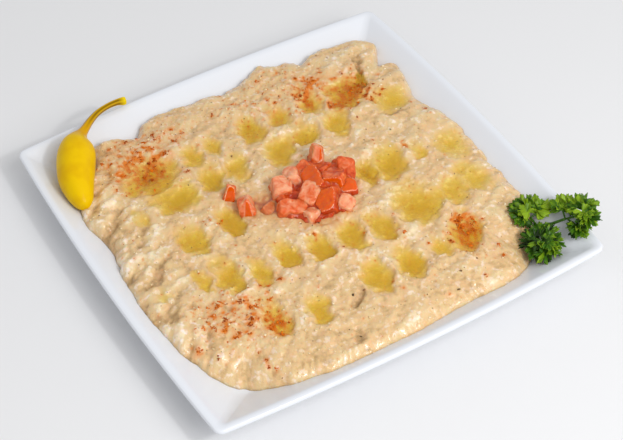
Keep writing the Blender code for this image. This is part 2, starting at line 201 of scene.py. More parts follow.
# Orange stains of wet paprika: (x, y, radius, strength)
STAINS = (
    (-70, 68, 11, 0.5),
    (-60, 64, 8, 0.5),
    (-79, 73, 5, 0.8),
    (-66, 79, 12, 0.3),
    (-52, 76, 7, 0.35),
    (54, 84, 7, 0.8),
    (46, 74, 7, 0.6),
    (75, 66, 8, 1.1),
    (62, 60, 7, 0.8),
    (64, 74, 11, 0.5),
    (23, 71, 7, 0.30),
    (-59, -66, 7, 0.6),
    (-60, -76, 5, 0.7),
    (69, -61, 4, 1.3),
    (66, -70, 6, 1.5),
    (62, -79, 5, 0.8),
    (-76, -58, 15, 0.24),
    (-46, 56, 4, 0.30),
    (16, -23, 2.4, 0.70),
)
# Sprinkled paprika: (x, y, spread, number of grains, usual size)
PAPRIKA = (
    (-72, 82, 9, 320, 0.42),
    (-57, 84, 9, 320, 0.42),
    (-66, 66, 8, 170, 0.5),
    (-60, 96, 9, 220, 0.4),
    (-40, 92, 9, 170, 0.4),
    (-80, 62, 8, 60, 0.45),
    (10, 90, 18, 420, 0.42),
    (38, 92, 12, 360, 0.45),
    (54, 85, 3.4, 60, 0.8),
    (45, 76, 5, 80, 0.75),
    (42, 68, 4, 40, 0.7),
    (60, 59, 5, 60, 0.8),
    (70, 60, 5, 60, 0.8),
    (77, 66, 4.5, 90, 0.8),
    (66, 72, 8, 90, 0.65),
    (80, 58, 4, 60, 0.8),
    (84, 76, 6, 40, 0.6),
    (-70, -58, 12, 420, 0.45),
    (-86, -52, 8, 200, 0.45),
    (-60, -72, 5, 70, 0.6),
    (67, -66, 4, 110, 0.7),
    (66, -80, 7, 60, 0.5),
    (-57, 12, 2, 9, 0.9),
    (-48, 8, 2, 7, 0.9),
    (-9, -28, 2, 9, 0.9),
    (75, 6, 1.8, 12, 0.8),
    (103, 27, 2, 6, 0.8),
    (97, 37, 2, 6, 0.8),
    (87, 53, 2, 6, 0.8),
    (15, -23, 1.8, 20, 0.8),
    (0, 0, 62, 1700, 0.38),
)
# Single clots of damp paprika: (x, y, width)
CLOTS = (
    (-79, 74, 2.4),
    (-70, 81, 2.6),
    (-80, 85, 2.0),
    (-54, 83, 2.4),
    (-50, 75, 2.5),
    (-57, 75, 2.2),
    (-62, 68, 2.5),
    (-69, 64, 2.4),
    (-66, 60, 2.0),
    (-56, 91, 1.8),
    (-64, 98, 2.1),
    (-48, 95, 2.2),
    (-37, 92, 2.0),
    (-33, 86, 1.8),
    (-40, 83, 2.2),
    (-45, 55, 1.7),
    (-84, 90, 1.8),
    (-64, 78, 2.0),
    (-61, 74, 1.6),
    (-90, -41, 1.3),
    (-86, -44, 1.4),
    (-81, -46, 2.2),
    (-79, -44, 1.6),
    (-86, -51, 1.9),
    (-90, -58, 1.9),
    (-82, -57, 2.6),
    (-85, -62, 1.5),
    (-69, -51, 2.7),
    (-66, -56, 1.8),
    (-63, -57, 2.4),
    (-70, -64, 2.4),
    (-72, -67, 2.0),
    (-80, -68, 2.3),
    (-83, -71, 1.8),
    (-75, -72, 1.8),
    (-63, -68, 1.5),
    (-58, -73, 2.8),
    (-64, -75, 2.2),
    (-60, -81, 2.2),
    (-54, -46, 2.0),
    (-50, -48, 1.4),
    (-54, -56, 2.2),
    (-42, -47, 2.6),
    (-103, -66, 2.4),
    (-97, -76, 1.4),
    (-77, -84, 1.3),
    (-76, -91, 1.5),
    (-77, -95, 1.5),
    (-75, -98, 1.4),
    (-91, -94, 1.6),
    (-92, -99, 1.5),
    (68, -60, 3.6),
    (65, -66, 2.4),
    (66, -72, 3.8),
    (70, -72, 2.2),
    (61, -81, 2.2),
    (74, -65, 1.6),
    (78, -68, 1.6),
    (56, -68, 1.6),
    (54, -72, 1.4),
    (75, -88, 1.8),
    (73, -96, 1.6),
    (35, -54, 1.5),
    (42, -68, 1.4),
    (56, -104, 1.4),
    (-9, -28, 1.6),
)
CLUMP_SHARE = 0.5  # clumps for each grain counted above
SPECKS = 520  # char and spice specks all over the dip
SEEDS = 420
JUICE_REACH = 8.0
# Where tomato juice has run into the dip beside the heap: (x, y, radius, strength)
JUICE = (
    (-21, 8, 10, 0.45),
    (-14, 0, 9, 0.4),
    (-29, 12, 6, 0.35),
    (-8, -17, 8, 0.5),
    (6, -27, 7, 0.5),
)
# Single larger flecks of charred skin: (x, y, length)
CHAR_FLECKS = (
    (45, -95, 1.8),
    (38, -104, 1.6),
    (-14, -78, 1.9),
    (-7, -78, 1.6),
    (-25, -104, 1.8),
    (-2, -22, 1.5),
    (76, 98, 1.3),
    (-17, 53, 1.6),
    (58, -92, 1.3),
    (62, 30, 1.3),
    (74, 22, 1.2),
    (-60, 52, 1.2),
    (33, 84, 1.2),
    (94, 62, 1.4),
)


def gradient_noise(x, y, seed):
    """Smooth noise, about -1 to 1, on a grid of one unit."""
    west, south = np.floor(x), np.floor(y)
    fx, fy = x - west, y - south
    total = 0.0
    for east in (0, 1):
        for north in (0, 1):
            key = (west + east) * 127.1 + (south + north) * 311.7 + seed * 74.7
            turn = 2 * math.pi * np.modf(np.abs(np.sin(key)) * 43758.5453)[0]
            slope = np.cos(turn) * (fx - east) + np.sin(turn) * (fy - north)
            wx = fx if east else 1 - fx
            wy = fy if north else 1 - fy
            total = total + slope * wx**3 * (wx * (6 * wx - 15) + 10) * wy**3 * (wy * (6 * wy - 15) + 10)
    return total * 1.5


def folds(x, y, size, seed, stretch=1.0, crease=0.12):
    """Rounded humps of about that size with creases between them, 0 in a crease and 1 on a hump."""
    along = (x * math.cos(SWEEP) + y * math.sin(SWEEP)) / (size * stretch)
    across = (y * math.cos(SWEEP) - x * math.sin(SWEEP)) / size
    bend = 0.35 * gradient_noise(x / size / 2.2, y / size / 2.2, seed + 5)
    value = gradient_noise(along + bend, across - bend, seed)
    return np.sqrt(value * value + crease * crease) - crease


def lumps(x, y, size, seed, share):
    """Rounded lumps of about that size in a share of the places: 0 between them and up to 1 on top."""
    west, south = np.floor(x / size), np.floor(y / size)
    top = np.zeros_like(x)
    for east in (-1, 0, 1):
        for north in (-1, 0, 1):
            key = (west + east) * 127.1 + (south + north) * 311.7 + seed * 74.7
            chance = [np.modf(np.abs(np.sin(key + step)) * 43758.5453)[0] for step in (0.0, 1.7, 3.1, 4.9, 6.3)]
            dx = x / size - (west + east + chance[0])
            dy = y / size - (south + north + chance[1])
            c, s = np.cos(2 * math.pi * chance[4]), np.sin(2 * math.pi * chance[4])
            away = (0.75 * (c * dx + s * dy)) ** 2 + (1.25 * (c * dy - s * dx)) ** 2
            radius = 0.3 + 0.35 * chance[2]
            dome = np.maximum(1 - away / radius**2, 0) ** 0.8 * (0.6 + 0.4 * chance[2])
            top = np.maximum(top, np.where(chance[3] < share, dome, 0))
    return top


def plate_ring(x, y):
    """The half width of the plate ring through (x, y)."""
    along, across = np.maximum(abs(x), abs(y)), np.minimum(abs(x), abs(y))
    half = along
    for _ in range(4):
        bulge = SIDE_BULGE * half / PLATE_HALF
        half = along + bulge * (across / np.maximum(half - bulge, 1.0)) ** 2
    return half


def plate_height(x, y):
    """Height of the plate's upper side at (x, y)."""
    steps = sorted((half, height) for half, height, _ in (*PLATE_INSIDE, PLATE_LIP[-1], PLATE_LIP[-2]))
    return np.interp(plate_ring(x, y), [step[0] for step in steps], [step[1] for step in steps])


def dip_reach(angle):
    """Distance from the middle of the plate to the dip's edge, in the direction of angle."""
    east, north = np.cos(angle), np.sin(angle)
    wide = np.where(east > 0, DIP_RIGHT, DIP_LEFT)
    deep = np.where(north > 0, DIP_BACK, DIP_FRONT)
    c, s = np.maximum(abs(east), 1e-6), np.maximum(abs(north), 1e-6)
    reach = np.minimum(wide / c, deep / s)
    for (right, back), corner in DIP_CORNERS.items():
        x, y = wide - corner, deep - corner
        middle = c * x + s * y
        arc = middle + np.sqrt(np.maximum(middle * middle - x * x - y * y + corner * corner, 0))
        here = (east * right > 0) & (north * back > 0) & (reach * c > x) & (reach * s > y)
        reach = np.where(here, arc, reach)
    for direction, amount, width in DIP_SCALLOPS:
        off = (np.degrees(angle) - direction + 180) % 360 - 180
        reach = reach + amount * np.exp(-((off / width) ** 2))
    x, y = reach * east, reach * north
    return reach + 1.1 * gradient_noise(x / 11, y / 11, 31) + 0.5 * gradient_noise(x / 4, y / 4, 32)


def mark_place(mark, x, y):
    """Where (x, y) lies in a finger mark: across and along, 1 at its rim. The deepest spot is off its middle."""
    cx, cy, wide, long, _, lean, _ = mark
    c, s = math.cos(math.radians(lean)), math.sin(math.radians(lean))
    across = (c * (x - cx) + s * (y - cy)) / wide
    along = (c * (y - cy) - s * (x - cx)) / long
    size = across * across + along * along
    inside = np.maximum(1 - size, 0)
    return size, (across - 0.12 * inside) ** 2 + (along + 0.3 * inside) ** 2


def bent(x, y):
    """The same places pushed a little to and fro, so that what is made from them has uneven edges."""
    east = 2.6 * gradient_noise(x / 7, y / 7, 51) + 0.9 * gradient_noise(x / 2.6, y / 2.6, 53)
    north = 2.6 * gradient_noise(x / 7, y / 7, 52) + 0.9 * gradient_noise(x / 2.6, y / 2.6, 54)
    return x + east, y + north


def ground(x, y):
    """Height of the spread before the finger marks: a low mound with soft swells."""
    along, across = x * math.cos(SWEEP) + y * math.sin(SWEEP), y * math.cos(SWEEP) - x * math.sin(SWEEP)
    swell = 0.9 * gradient_noise(x / 26, y / 26, 1) + 1.0 * gradient_noise(along / 24, across / 11, 2)
    return DIP_TOP + DIP_MOUND * np.exp(-(x * x + y * y) / MOUND_RADIUS**2) + swell


def marked(x, y):
    """How deep the finger marks go at (x, y), and how far into one (x, y) lies, from 0 to 1."""
    depth, wet = 0.0, np.zeros_like(x)
    x, y = bent(x, y)
    for mark in FINGER_MARKS:
        size, shifted = mark_place(mark, x, y)
        bowl = np.maximum(1 - shifted, 0) ** 1.4
        rim = np.exp(-(((np.sqrt(size) - 1.06) / 0.2) ** 2))
        depth = depth + mark[4] * (np.where(size < 1, bowl, 0) - 0.13 * rim)
        wet = np.maximum(wet, 1 - size)
    return depth, wet


def creased(x, y):
    depth = 0.0
    x, y = bent(x, y)
    for x0, y0, x1, y1, deep, width in CREASES:
        dx, dy = x1 - x0, y1 - y0
        share = np.clip(((x - x0) * dx + (y - y0) * dy) / (dx * dx + dy * dy), 0, 1)
        away = np.hypot(x - x0 - share * dx, y - y0 - share * dy)
        fade = 1 - (2 * share - 1) ** 4
        depth = depth + deep * fade * np.exp(-((away / width) ** 2))
    return depth


def texture_relief(x, y, wet):
    """The dip's own texture: folds left by the spoon, lumps of pulp and small grains."""
    left = np.exp(-(((x + 112) / 34) ** 2)) * np.clip((y + 85) / 30, 0, 1)
    calm = 1 - 0.6 * np.clip(wet * 1.6, 0, 1)
    big = 1.8 * (folds(x, y, 12, 11, 2.0) - 0.33)
    lobes = left * (3.6 * (folds(x, y, 15, 19, 1.2, 0.04) - 0.33) + 1.8 * lumps(x, y, 12, 17, 0.8))
    middle = 0.8 * (folds(x, y, 5.2, 12, 1.3) - 0.33)
    pulp = 0.42 * lumps(x, y, 4.2, 15, 0.4) + 0.3 * lumps(x, y, 2.5, 16, 0.5) + 0.16 * lumps(x, y, 1.7, 18, 0.5)
    small = 0.3 * (folds(x, y, 2.2, 13, 1.2) - 0.33)
    return (big + lobes + middle) * calm + (pulp - 0.2 + small) * (0.3 + 0.7 * calm)


def dip_bank(x, y):
    """How far (x, y) lies inside the dip's edge, the height it rests at there, how far
    it rises from there, and the share of that rise that it reaches at (x, y)."""
    angle = np.arctan2(y, x)
    reach = dip_reach(angle)
    inside = np.maximum(reach - np.hypot(x, y), 0)
    rest = plate_height(reach * np.cos(angle), reach * np.sin(angle)) - 0.3
    drop = ground(x, y) - rest
    steep = 1 - 0.35 * np.clip(y / 90, 0, 1)
    width = steep * (2.2 + 0.42 * drop) * (1 + 0.4 * gradient_noise(x / 13, y / 13, 21))
    return inside, rest, drop, 1 - np.exp(-inside / width)


def dip_parts(x, y):
    """Height of the dip's surface at (x, y), and its fine relief alone."""
    inside, rest, drop, bank = dip_bank(x, y)
    depth, wet = marked(x, y)
    fine = texture_relief(x, y, wet)
    bead = 1.2 * (1 - np.exp(-inside / 0.7))
    height = rest + bead + (drop - 1.2 - depth - creased(x, y)) * bank + fine * np.minimum(inside / 2.5, 1)
    return height, fine


def oil_level(x, y):
    """Height of the oil's surface at (x, y), far below the dip where there is none."""
    level = np.full_like(x, -50.0)
    _, _, drop, bank = dip_bank(x, y)
    x, y = bent(x, y)
    for mark in FINGER_MARKS:
        size, _ = mark_place(mark, x, y)
        edge = np.clip((np.sqrt(size) - 0.9) / 0.35, 0, 1)
        own = ground(np.array([float(mark[0])]), np.array([float(mark[1])]))[0] - (1.14 - mark[6]) * mark[4]
        level = np.maximum(level, own - 3.0 * edge * edge - np.where(size > 1.8, 50, 0))
    return level - drop * (1 - bank)


def paprika_clumps():
    """Where the clumps of sprinkled paprika lie, as rows of (x, y), and how large each one is."""
    chance = np.random.default_rng(7)
    places, sizes = [], []
    for x, y, spread, number, size in PAPRIKA:
        count = max(2, round(number * CLUMP_SHARE))
        places.append(chance.normal((x, y), spread, (count, 2)))
        sizes.append(size * chance.lognormal(0, 0.45, count))
    places, sizes = np.concatenate(places), np.clip(np.concatenate(sizes), 0.3, 1.6)
    places = np.concatenate([places, [(x, y) for x, y, _ in CLOTS]])
    sizes = np.concatenate([sizes, [width for _, _, width in CLOTS]])
    inside = np.hypot(*places.T) < dip_reach(np.arctan2(places[:, 1], places[:, 0])) - 1
    return places[inside], sizes[inside]


def stained(x, y):
    """Share of paprika colour soaked into the surface at (x, y)."""
    share = np.zeros_like(x)
    for (cx, cy), size in zip(*paprika_clumps()):
        near = (abs(x - cx) < 3 * size) & (abs(y - cy) < 3 * size)
        away = (x[near] - cx) ** 2 + (y[near] - cy) ** 2
        share[near] += 0.85 * np.exp(-away / (1.3 * size) ** 2)
    for cx, cy, radius, strength in STAINS:
        share = share + strength * np.exp(-((x - cx) ** 2 + (y - cy) ** 2) / radius**2)
    blotch = 0.5 + 0.9 * gradient_noise(x / 3.4, y / 3.4, 41) + 0.5 * gradient_noise(x / 1.5, y / 1.5, 42)
    return np.clip(share * np.clip(blotch, 0, 1.4), 0, 1)


# ---------------------------------------------------------------- small tools


def linear(code):
    """An sRGB hex colour as linear red, green and blue."""
    parts = [int(code[i : i + 2], 16) / 255 for i in (1, 3, 5)]
    return tuple(p / 12.92 if p <= 0.04045 else ((p + 0.055) / 1.055) ** 2.4 for p in parts)


def colour(code, name, description):
    """A colour property with that sRGB default."""
    return FloatVectorProperty(
        name=name, description=description, subtype="COLOR", size=3, min=0, max=1, default=linear(code)
    )


def add(tree, kind, inputs=None, stops=None, **settings):
    """Add a node. inputs are values or sockets to link by input name or number, stops a ramp's colours."""
    made = tree.nodes.new(kind)
    for name, value in settings.items():
        setattr(made, name, value)
    for name, value in (inputs or {}).items():
        if isinstance(value, bpy.types.NodeSocket):
            tree.links.new(value, made.inputs[name])
        elif isinstance(value, (tuple, list)) and len(value) == 3 and made.inputs[name].type == "RGBA":
            made.inputs[name].default_value = (*value, 1.0)
        else:
            made.inputs[name].default_value = value
    if stops:
        made.color_ramp.elements.remove(made.color_ramp.elements[1])
        for number, (place, tone) in enumerate(stops):
            stop = made.color_ramp.elements[0] if number == 0 else made.color_ramp.elements.new(place)
            stop.position = place
            stop.color = (*tone, 1.0) if isinstance(tone, tuple) else (tone, tone, tone, 1.0)
    return made


def new_material(name, **constants):
    """A Principled material with these constants on its sockets. Returns it, its tree and its shader."""
    made = bpy.data.materials.new(name)
    made.use_nodes = True
    shader = made.node_tree.nodes["Principled BSDF"]
    for key, value in constants.items():
        shader.inputs[key.replace("_", " ")].default_value = value
    return made, made.node_tree, shader


def select_only(piece):
    bpy.ops.object.select_all(action="DESELECT")
    piece.select_set(True)
    bpy.context.view_layer.objects.active = piece


def named(piece, name):
    piece.name = name
    piece.data.name = name
    return piece


def coordinates(piece):
    """The piece's points in millimetres, one row each."""
    points = np.empty(len(piece.data.vertices) * 3, np.float32)
    piece.data.vertices.foreach_get("co", points)
    return points.reshape(-1, 3).astype(float) / MM


def set_coordinates(piece, points):
    """Move the piece's points to these places in millimetres."""
    piece.data.vertices.foreach_set("co", (points * MM).astype(np.float32).ravel())
    piece.data.update()


def read_attribute(piece, name):
    """The value that each point of the mesh holds under this name."""
    values = np.empty(len(piece.data.vertices), np.float32)
    piece.data.attributes[name].data.foreach_get("value", values)
    return values


def write_attribute(piece, name, values):
    """Store one number for each point of the piece, for its material to read."""
    made = piece.data.attributes.new(name, "FLOAT", "POINT")
    made.data.foreach_set("value", np.asarray(values, np.float32))


def apply_modifier(piece, kind, **settings):
    """Add a modifier with these settings and apply it."""
    select_only(piece)
    modifier = piece.modifiers.new(kind.title(), kind)
    for name, value in settings.items():
        setattr(modifier, name, value)
    bpy.ops.object.modifier_apply(modifier=modifier.name)


def finish_piece(piece, material, slot, *nodes):
    """Smooth the piece, give it its material, hang it under the frame's root, and hide the CAD nodes it stands in for.
    """
    piece.data.shade_smooth()
    piece.data.materials.clear()
    piece.data.materials.append(material)
    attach(piece, "root")
    if nodes:
        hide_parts(*nodes)
    return piece


def grow(name, rings):
    """A closed skin: a circle shaped as the first ring, extruded once for each further ring, with filled ends.

    Its attributes say where each point lies: along, from the first ring to the last, and turn, round the ring.
    """
    sides = len(rings[0])
    bpy.ops.object.select_all(action="DESELECT")
    bpy.ops.mesh.primitive_circle_add(vertices=sides, radius=1, fill_type="NOTHING")
    piece = named(bpy.context.object, name)
    write_attribute(piece, "turn", np.arange(sides) / sides)
    write_attribute(piece, "along", np.zeros(sides))
    bpy.ops.object.mode_set(mode="EDIT")
    bpy.ops.mesh.select_mode(type="VERT")
    bpy.ops.mesh.select_all(action="SELECT")
    for number, ring in enumerate(rings):
        if number:
            bpy.ops.mesh.extrude_region_move()
        mesh = bmesh.from_edit_mesh(piece.data)
        turn, along = mesh.verts.layers.float["turn"], mesh.verts.layers.float["along"]
        for vert in mesh.verts:
            if vert.select:
                vert.co = Vector(ring[round(vert[turn] * sides)]) * MM
                vert[along] = number / (len(rings) - 1)
        bmesh.update_edit_mesh(piece.data)
    bpy.ops.mesh.edge_face_add()
    bpy.ops.mesh.select_all(action="DESELECT")
    bpy.ops.mesh.select_non_manifold()
    bpy.ops.mesh.edge_face_add()
    bpy.ops.mesh.select_all(action="SELECT")
    bpy.ops.mesh.normals_make_consistent(inside=False)
    bpy.ops.object.mode_set(mode="OBJECT")
    return piece


# ---------------------------------------------------------------- plate


def soft_square(half, height, corner):
    """A square ring with slightly bowed sides and round corners."""
    bulge = SIDE_BULGE * half / PLATE_HALF
    tip = half - bulge
    tilt = math.atan2(2 * bulge, tip)
    centre = tip - corner * math.cos(math.pi / 4) / math.sin(math.pi / 4 + tilt)
    reach = centre + corner * math.sin(tilt)
    ring = []
    for quarter in range(4):
        turn = Matrix.Rotation(quarter * math.pi / 2, 2)
        side = []
        for i in range(PLATE_SIDE_POINTS):
            y = reach * (2 * i / PLATE_SIDE_POINTS - 1)
            side.append(Vector((half - bulge * (y / tip) ** 2, y)))
        for i in range(PLATE_CORNER_POINTS):
            angle = tilt + (math.pi / 2 - 2 * tilt) * i / PLATE_CORNER_POINTS
            side.append(Vector((centre + corner * math.cos(angle), centre + corner * math.sin(angle))))
        ring += [(*(turn @ point), height) for point in side]
    return ring


class PlateSettings(PropertyGroup):
    glaze: colour("#E3E6EC", "Glaze", "Colour of the white glaze")


def glazed_porcelain(settings):
    """Glazed hard porcelain: an even white, mirror smooth, with the faint waviness of a fired glaze."""
    made, tree, shader = new_material("glazed porcelain", Roughness=0.12, IOR=1.45)
    shader.inputs["Base Color"].default_value = (*settings.glaze, 1)
    place = add(tree, "ShaderNodeTexCoord")
    wave = add(tree, "ShaderNodeTexNoise", {"Vector": place.outputs["Object"], "Scale": 1 / 0.018, "Detail": 1})
    bump = add(
        tree, "ShaderNodeBump", {"Height": wave.outputs["Fac"], "Strength": 0.12, "Distance": 0.0006}
    )
    tree.links.new(bump.outputs["Normal"], shader.inputs["Normal"])
    return made


class MEZE_OT_plate(Operator):
    """Make the square porcelain plate"""

    bl_idname = "meze.plate"
    bl_label = "Plate"

    def execute(self, context):
        settings = context.scene.meze_plate
        profile = (*PLATE_UNDERSIDE, *PLATE_LIP, *PLATE_INSIDE)
        plate = grow("porcelain_plate", [soft_square(*step) for step in profile])
        apply_modifier(plate, "SUBSURF", levels=2, render_levels=2)
        finish_piece(plate, glazed_porcelain(settings), "porcelain", "plate")
        return {"FINISHED"}


# ---------------------------------------------------------------- dip and oil


class DipSettings(PropertyGroup):
    cells: IntProperty(name="Cells", description="Grid cells along one side of the dip", default=300, min=40)
    # crest, cream, tan and crease form the ramp picked by the relief attribute: crests get the palest colour as
    # painted light, low places tan and creases the darkest colour as painted shade
    crest: colour("#F0DCB8", "Crest", "Colour of the palest lumps")
    cream: colour("#E1C796", "Cream", "Colour of most of the dip")
    tan: colour("#DEBA84", "Tan", "Colour of the low places and of the coarser pulp")
    crease: colour("#A98655", "Crease", "Colour deep in a crease")
    rosy: colour("#EABD8C", "Rosy", "Colour of the pinker patches")
    oily: colour("#F8E866", "Oily", "What the oil lets through to the dip, where it is shallow")
    deep: colour("#EED044", "Under deep oil", "What the oil lets through where it is deep")
    stain: colour("#DC7A08", "Stain", "Colour of dip that is stained by wet paprika")
    juice: colour("#CE8C48", "Juice", "Colour of dip that tomato juice has run into")
    deep_juice: colour("#A03008", "Deep juice", "Colour of the juice under the heap of tomato")
    fleck: colour("#FCEBDC", "Fleck", "Colour of the pale flecks of aubergine flesh")


class OilSettings(PropertyGroup):
    shallow: colour("#F0D868", "Shallow", "Colour of the oil near its shore")
    deep: colour("#E0BE34", "Deep", "Colour of the oil where it is deepest")
    stain: colour("#DC7A0C", "Stain", "Colour of oil with paprika in it")


def spread_grid(name, cells):
    """A square grid stretched to the dip's edge. Returns the piece and its points' x and y."""
    bpy.ops.object.select_all(action="DESELECT")
    bpy.ops.mesh.primitive_grid_add(x_subdivisions=cells, y_subdivisions=cells, size=2, calc_uvs=False)
    piece = named(bpy.context.object, name)
    square = coordinates(piece) * MM
    u, v = square[:, 0], square[:, 1]
    angle = np.arctan2(v, u)
    reach = dip_reach(angle) * np.maximum(abs(u), abs(v))
    return piece, reach * np.cos(angle), reach * np.sin(angle)


def juicy(x, y):
    """Share of tomato juice in the dip at (x, y), from 0 to 1: all under the heap, and a little round it."""
    share = np.zeros_like(x)
    for name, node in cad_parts.items():
        if name.startswith("tomato_dice"):
            middle = coordinates(node).mean(0)
            share = share + 0.7 * np.exp(-((x - middle[0]) ** 2 + (y - middle[1]) ** 2) / JUICE_REACH**2)
    for cx, cy, radius, strength in JUICE:
        share = share + strength * np.exp(-((x - cx) ** 2 + (y - cy) ** 2) / radius**2)
    return np.clip(share * (0.6 + 0.4 * gradient_noise(x / 3.2, y / 3.2, 61)), 0, 1)


def aubergine_dip(settings):
    """Mashed aubergine with sesame paste: damp, dense and slightly see-through, so light
    softens in it. Crests are painted paler and creases darker, as painted light and shade, and wet paprika and oil
    tint it."""
    made, tree, shader = new_material(
        "aubergine and sesame dip",
        Subsurface_Weight=0.35,
        Subsurface_Radius=(1.0, 0.6, 0.3),
        Subsurface_Scale=0.0025,
        IOR=1.42,
        Coat_Weight=0.5,
        Coat_Roughness=0.12,
    )
    place = add(tree, "ShaderNodeTexCoord").outputs["Object"]
    # relief attribute: painted light on crests, painted shade in creases
    crest = add(tree, "ShaderNodeAttribute", attribute_name="crest").outputs["Fac"]
    oil = add(tree, "ShaderNodeAttribute", attribute_name="oil").outputs["Fac"]
    stain = add(tree, "ShaderNodeAttribute", attribute_name="stain").outputs["Fac"]
    juice = add(tree, "ShaderNodeAttribute", attribute_name="juice").outputs["Fac"]
    patch = add(tree, "ShaderNodeTexNoise", {"Vector": place, "Scale": 1 / 0.012, "Detail": 3})
    pulp = add(tree, "ShaderNodeTexNoise", {"Vector": place, "Scale": 1 / 0.0022, "Detail": 3})
    mottle = add(
        tree, "ShaderNodeMath", {0: patch.outputs["Fac"], 1: pulp.outputs["Fac"]}, operation="MULTIPLY"
    )
    tone = add(
        tree, "ShaderNodeMath", {0: mottle.outputs[0], 1: 0.9, 2: crest}, operation="MULTIPLY_ADD"
    )
    # ramp from painted crease shade through tan and cream to painted crest light
    mixed = add(
        tree,
        "ShaderNodeValToRGB",
        {"Fac": tone.outputs[0]},
        stops=(
            (0.2, tuple(settings.crease)),
            (0.5, tuple(settings.tan)),
            (0.8, tuple(settings.cream)),
            (1.05 / 1.1, tuple(settings.crest)),
        ),
    )
    rosy = add(tree, "ShaderNodeTexNoise", {"Vector": place, "Scale": 1 / 0.0045, "Detail": 3})
    blush = add(
        tree,
        "ShaderNodeMapRange",
        {"Value": rosy.outputs["Fac"], "From Min": 0.45, "From Max": 0.7, "To Min": 0.0, "To Max": 0.6},
    )
    blushed = add(
        tree,
        "ShaderNodeMixRGB",
        {"Fac": blush.outputs["Result"], "Color1": mixed.outputs["Color"], "Color2": tuple(settings.rosy)},
    )
    flesh = add(tree, "ShaderNodeTexNoise", {"Vector": place, "Scale": 1 / 0.0034, "Detail": 3})
    pale = add(
        tree,
        "ShaderNodeMapRange",
        {"Value": flesh.outputs["Fac"], "From Min": 0.56, "From Max": 0.66, "To Min": 0.0, "To Max": 1.2},
    )
    # the pale flecks show only where the painted crest light is high
    on_crests = add(tree, "ShaderNodeMath", {0: pale.outputs["Result"], 1: crest}, operation="MULTIPLY")
    flecked = add(
        tree,
        "ShaderNodeMixRGB",
        {"Fac": on_crests.outputs[0], "Color1": blushed.outputs["Color"], "Color2": tuple(settings.fleck)},
    )
    spiced = add(
        tree,
        "ShaderNodeMixRGB",
        {"Fac": stain, "Color1": flecked.outputs["Color"], "Color2": tuple(settings.stain)},
    )
    through = add(
        tree,
        "ShaderNodeValToRGB",
        {"Fac": oil},
        stops=((0.0, (1.0, 1.0, 1.0)), (0.3, (0.97, 0.9, 0.48)), (0.65, tuple(settings.oily)), (1.0, tuple(settings.deep))),
    )
    soaked = add(
        tree,
        "ShaderNodeMixRGB",
        {"Fac": 1.0, "Color1": spiced.outputs["Color"], "Color2": through.outputs["Color"]},
        blend_type="MULTIPLY",
    )
    soaking = add(
        tree, "ShaderNodeMapRange", {"Value": juice, "From Min": 0.1, "From Max": 0.6, "To Min": 0.0, "To Max": 0.85}
    )
    puddle = add(
        tree,
        "ShaderNodeValToRGB",
        {"Fac": juice},
        stops=((0.45, tuple(settings.juice)), (0.95, tuple(settings.deep_juice))),
    )
    juicy_dip = add(
        tree,
        "ShaderNodeMixRGB",
        {"Fac": soaking.outputs["Result"], "Color1": soaked.outputs["Color"], "Color2": puddle.outputs["Color"]},
    )
    gloss = add(
        tree,
        "ShaderNodeMapRange",
        {"Value": pulp.outputs["Fac"], "From Min": 0.35, "From Max": 0.65, "To Min": 0.3, "To Max": 0.52},
    )
    grain = add(tree, "ShaderNodeTexNoise", {"Vector": place, "Scale": 1 / 0.0011, "Detail": 2})
    bump = add(
        tree, "ShaderNodeBump", {"Height": grain.outputs["Fac"], "Strength": 0.7, "Distance": 0.0004}
    )
    tree.links.new(juicy_dip.outputs["Color"], shader.inputs["Base Color"])
    tree.links.new(gloss.outputs["Result"], shader.inputs["Roughness"])
    tree.links.new(bump.outputs["Normal"], shader.inputs["Normal"])
    return made


def olive_oil(settings):
    """Olive oil: a clear gold film that deepens to olive where it lies deep, and a smooth mirror on top."""
    made, tree, shader = new_material("olive oil", Roughness=0.09, IOR=1.47, Specular_IOR_Level=0.2)
    depth = add(tree, "ShaderNodeAttribute", attribute_name="depth").outputs["Fac"]
    stain = add(tree, "ShaderNodeAttribute", attribute_name="stain").outputs["Fac"]
    place = add(tree, "ShaderNodeTexCoord").outputs["Object"]
    cloud = add(tree, "ShaderNodeTexNoise", {"Vector": place, "Scale": 1 / 0.005, "Detail": 2})
    uneven = add(
        tree, "ShaderNodeMath", {0: cloud.outputs["Fac"], 1: 0.3, 2: depth}, operation="MULTIPLY_ADD"
    )
    tint = add(
        tree,
        "ShaderNodeValToRGB",
        {"Fac": uneven.outputs[0]},
        stops=((0.25, tuple(settings.shallow)), (1.0, tuple(settings.deep))),
    )
    spiced = add(
        tree,
        "ShaderNodeMixRGB",
        {"Fac": stain, "Color1": tint.outputs["Color"], "Color2": tuple(settings.stain)},
    )
    cover = add(
        tree,
        "ShaderNodeValToRGB",
        {"Fac": depth},
        stops=((0.0, 0.0), (0.5, 0.1), (1.0, 0.24)),
    )
    tree.links.new(spiced.outputs["Color"], shader.inputs["Base Color"])
    tree.links.new(cover.outputs["Color"], shader.inputs["Alpha"])
    return made


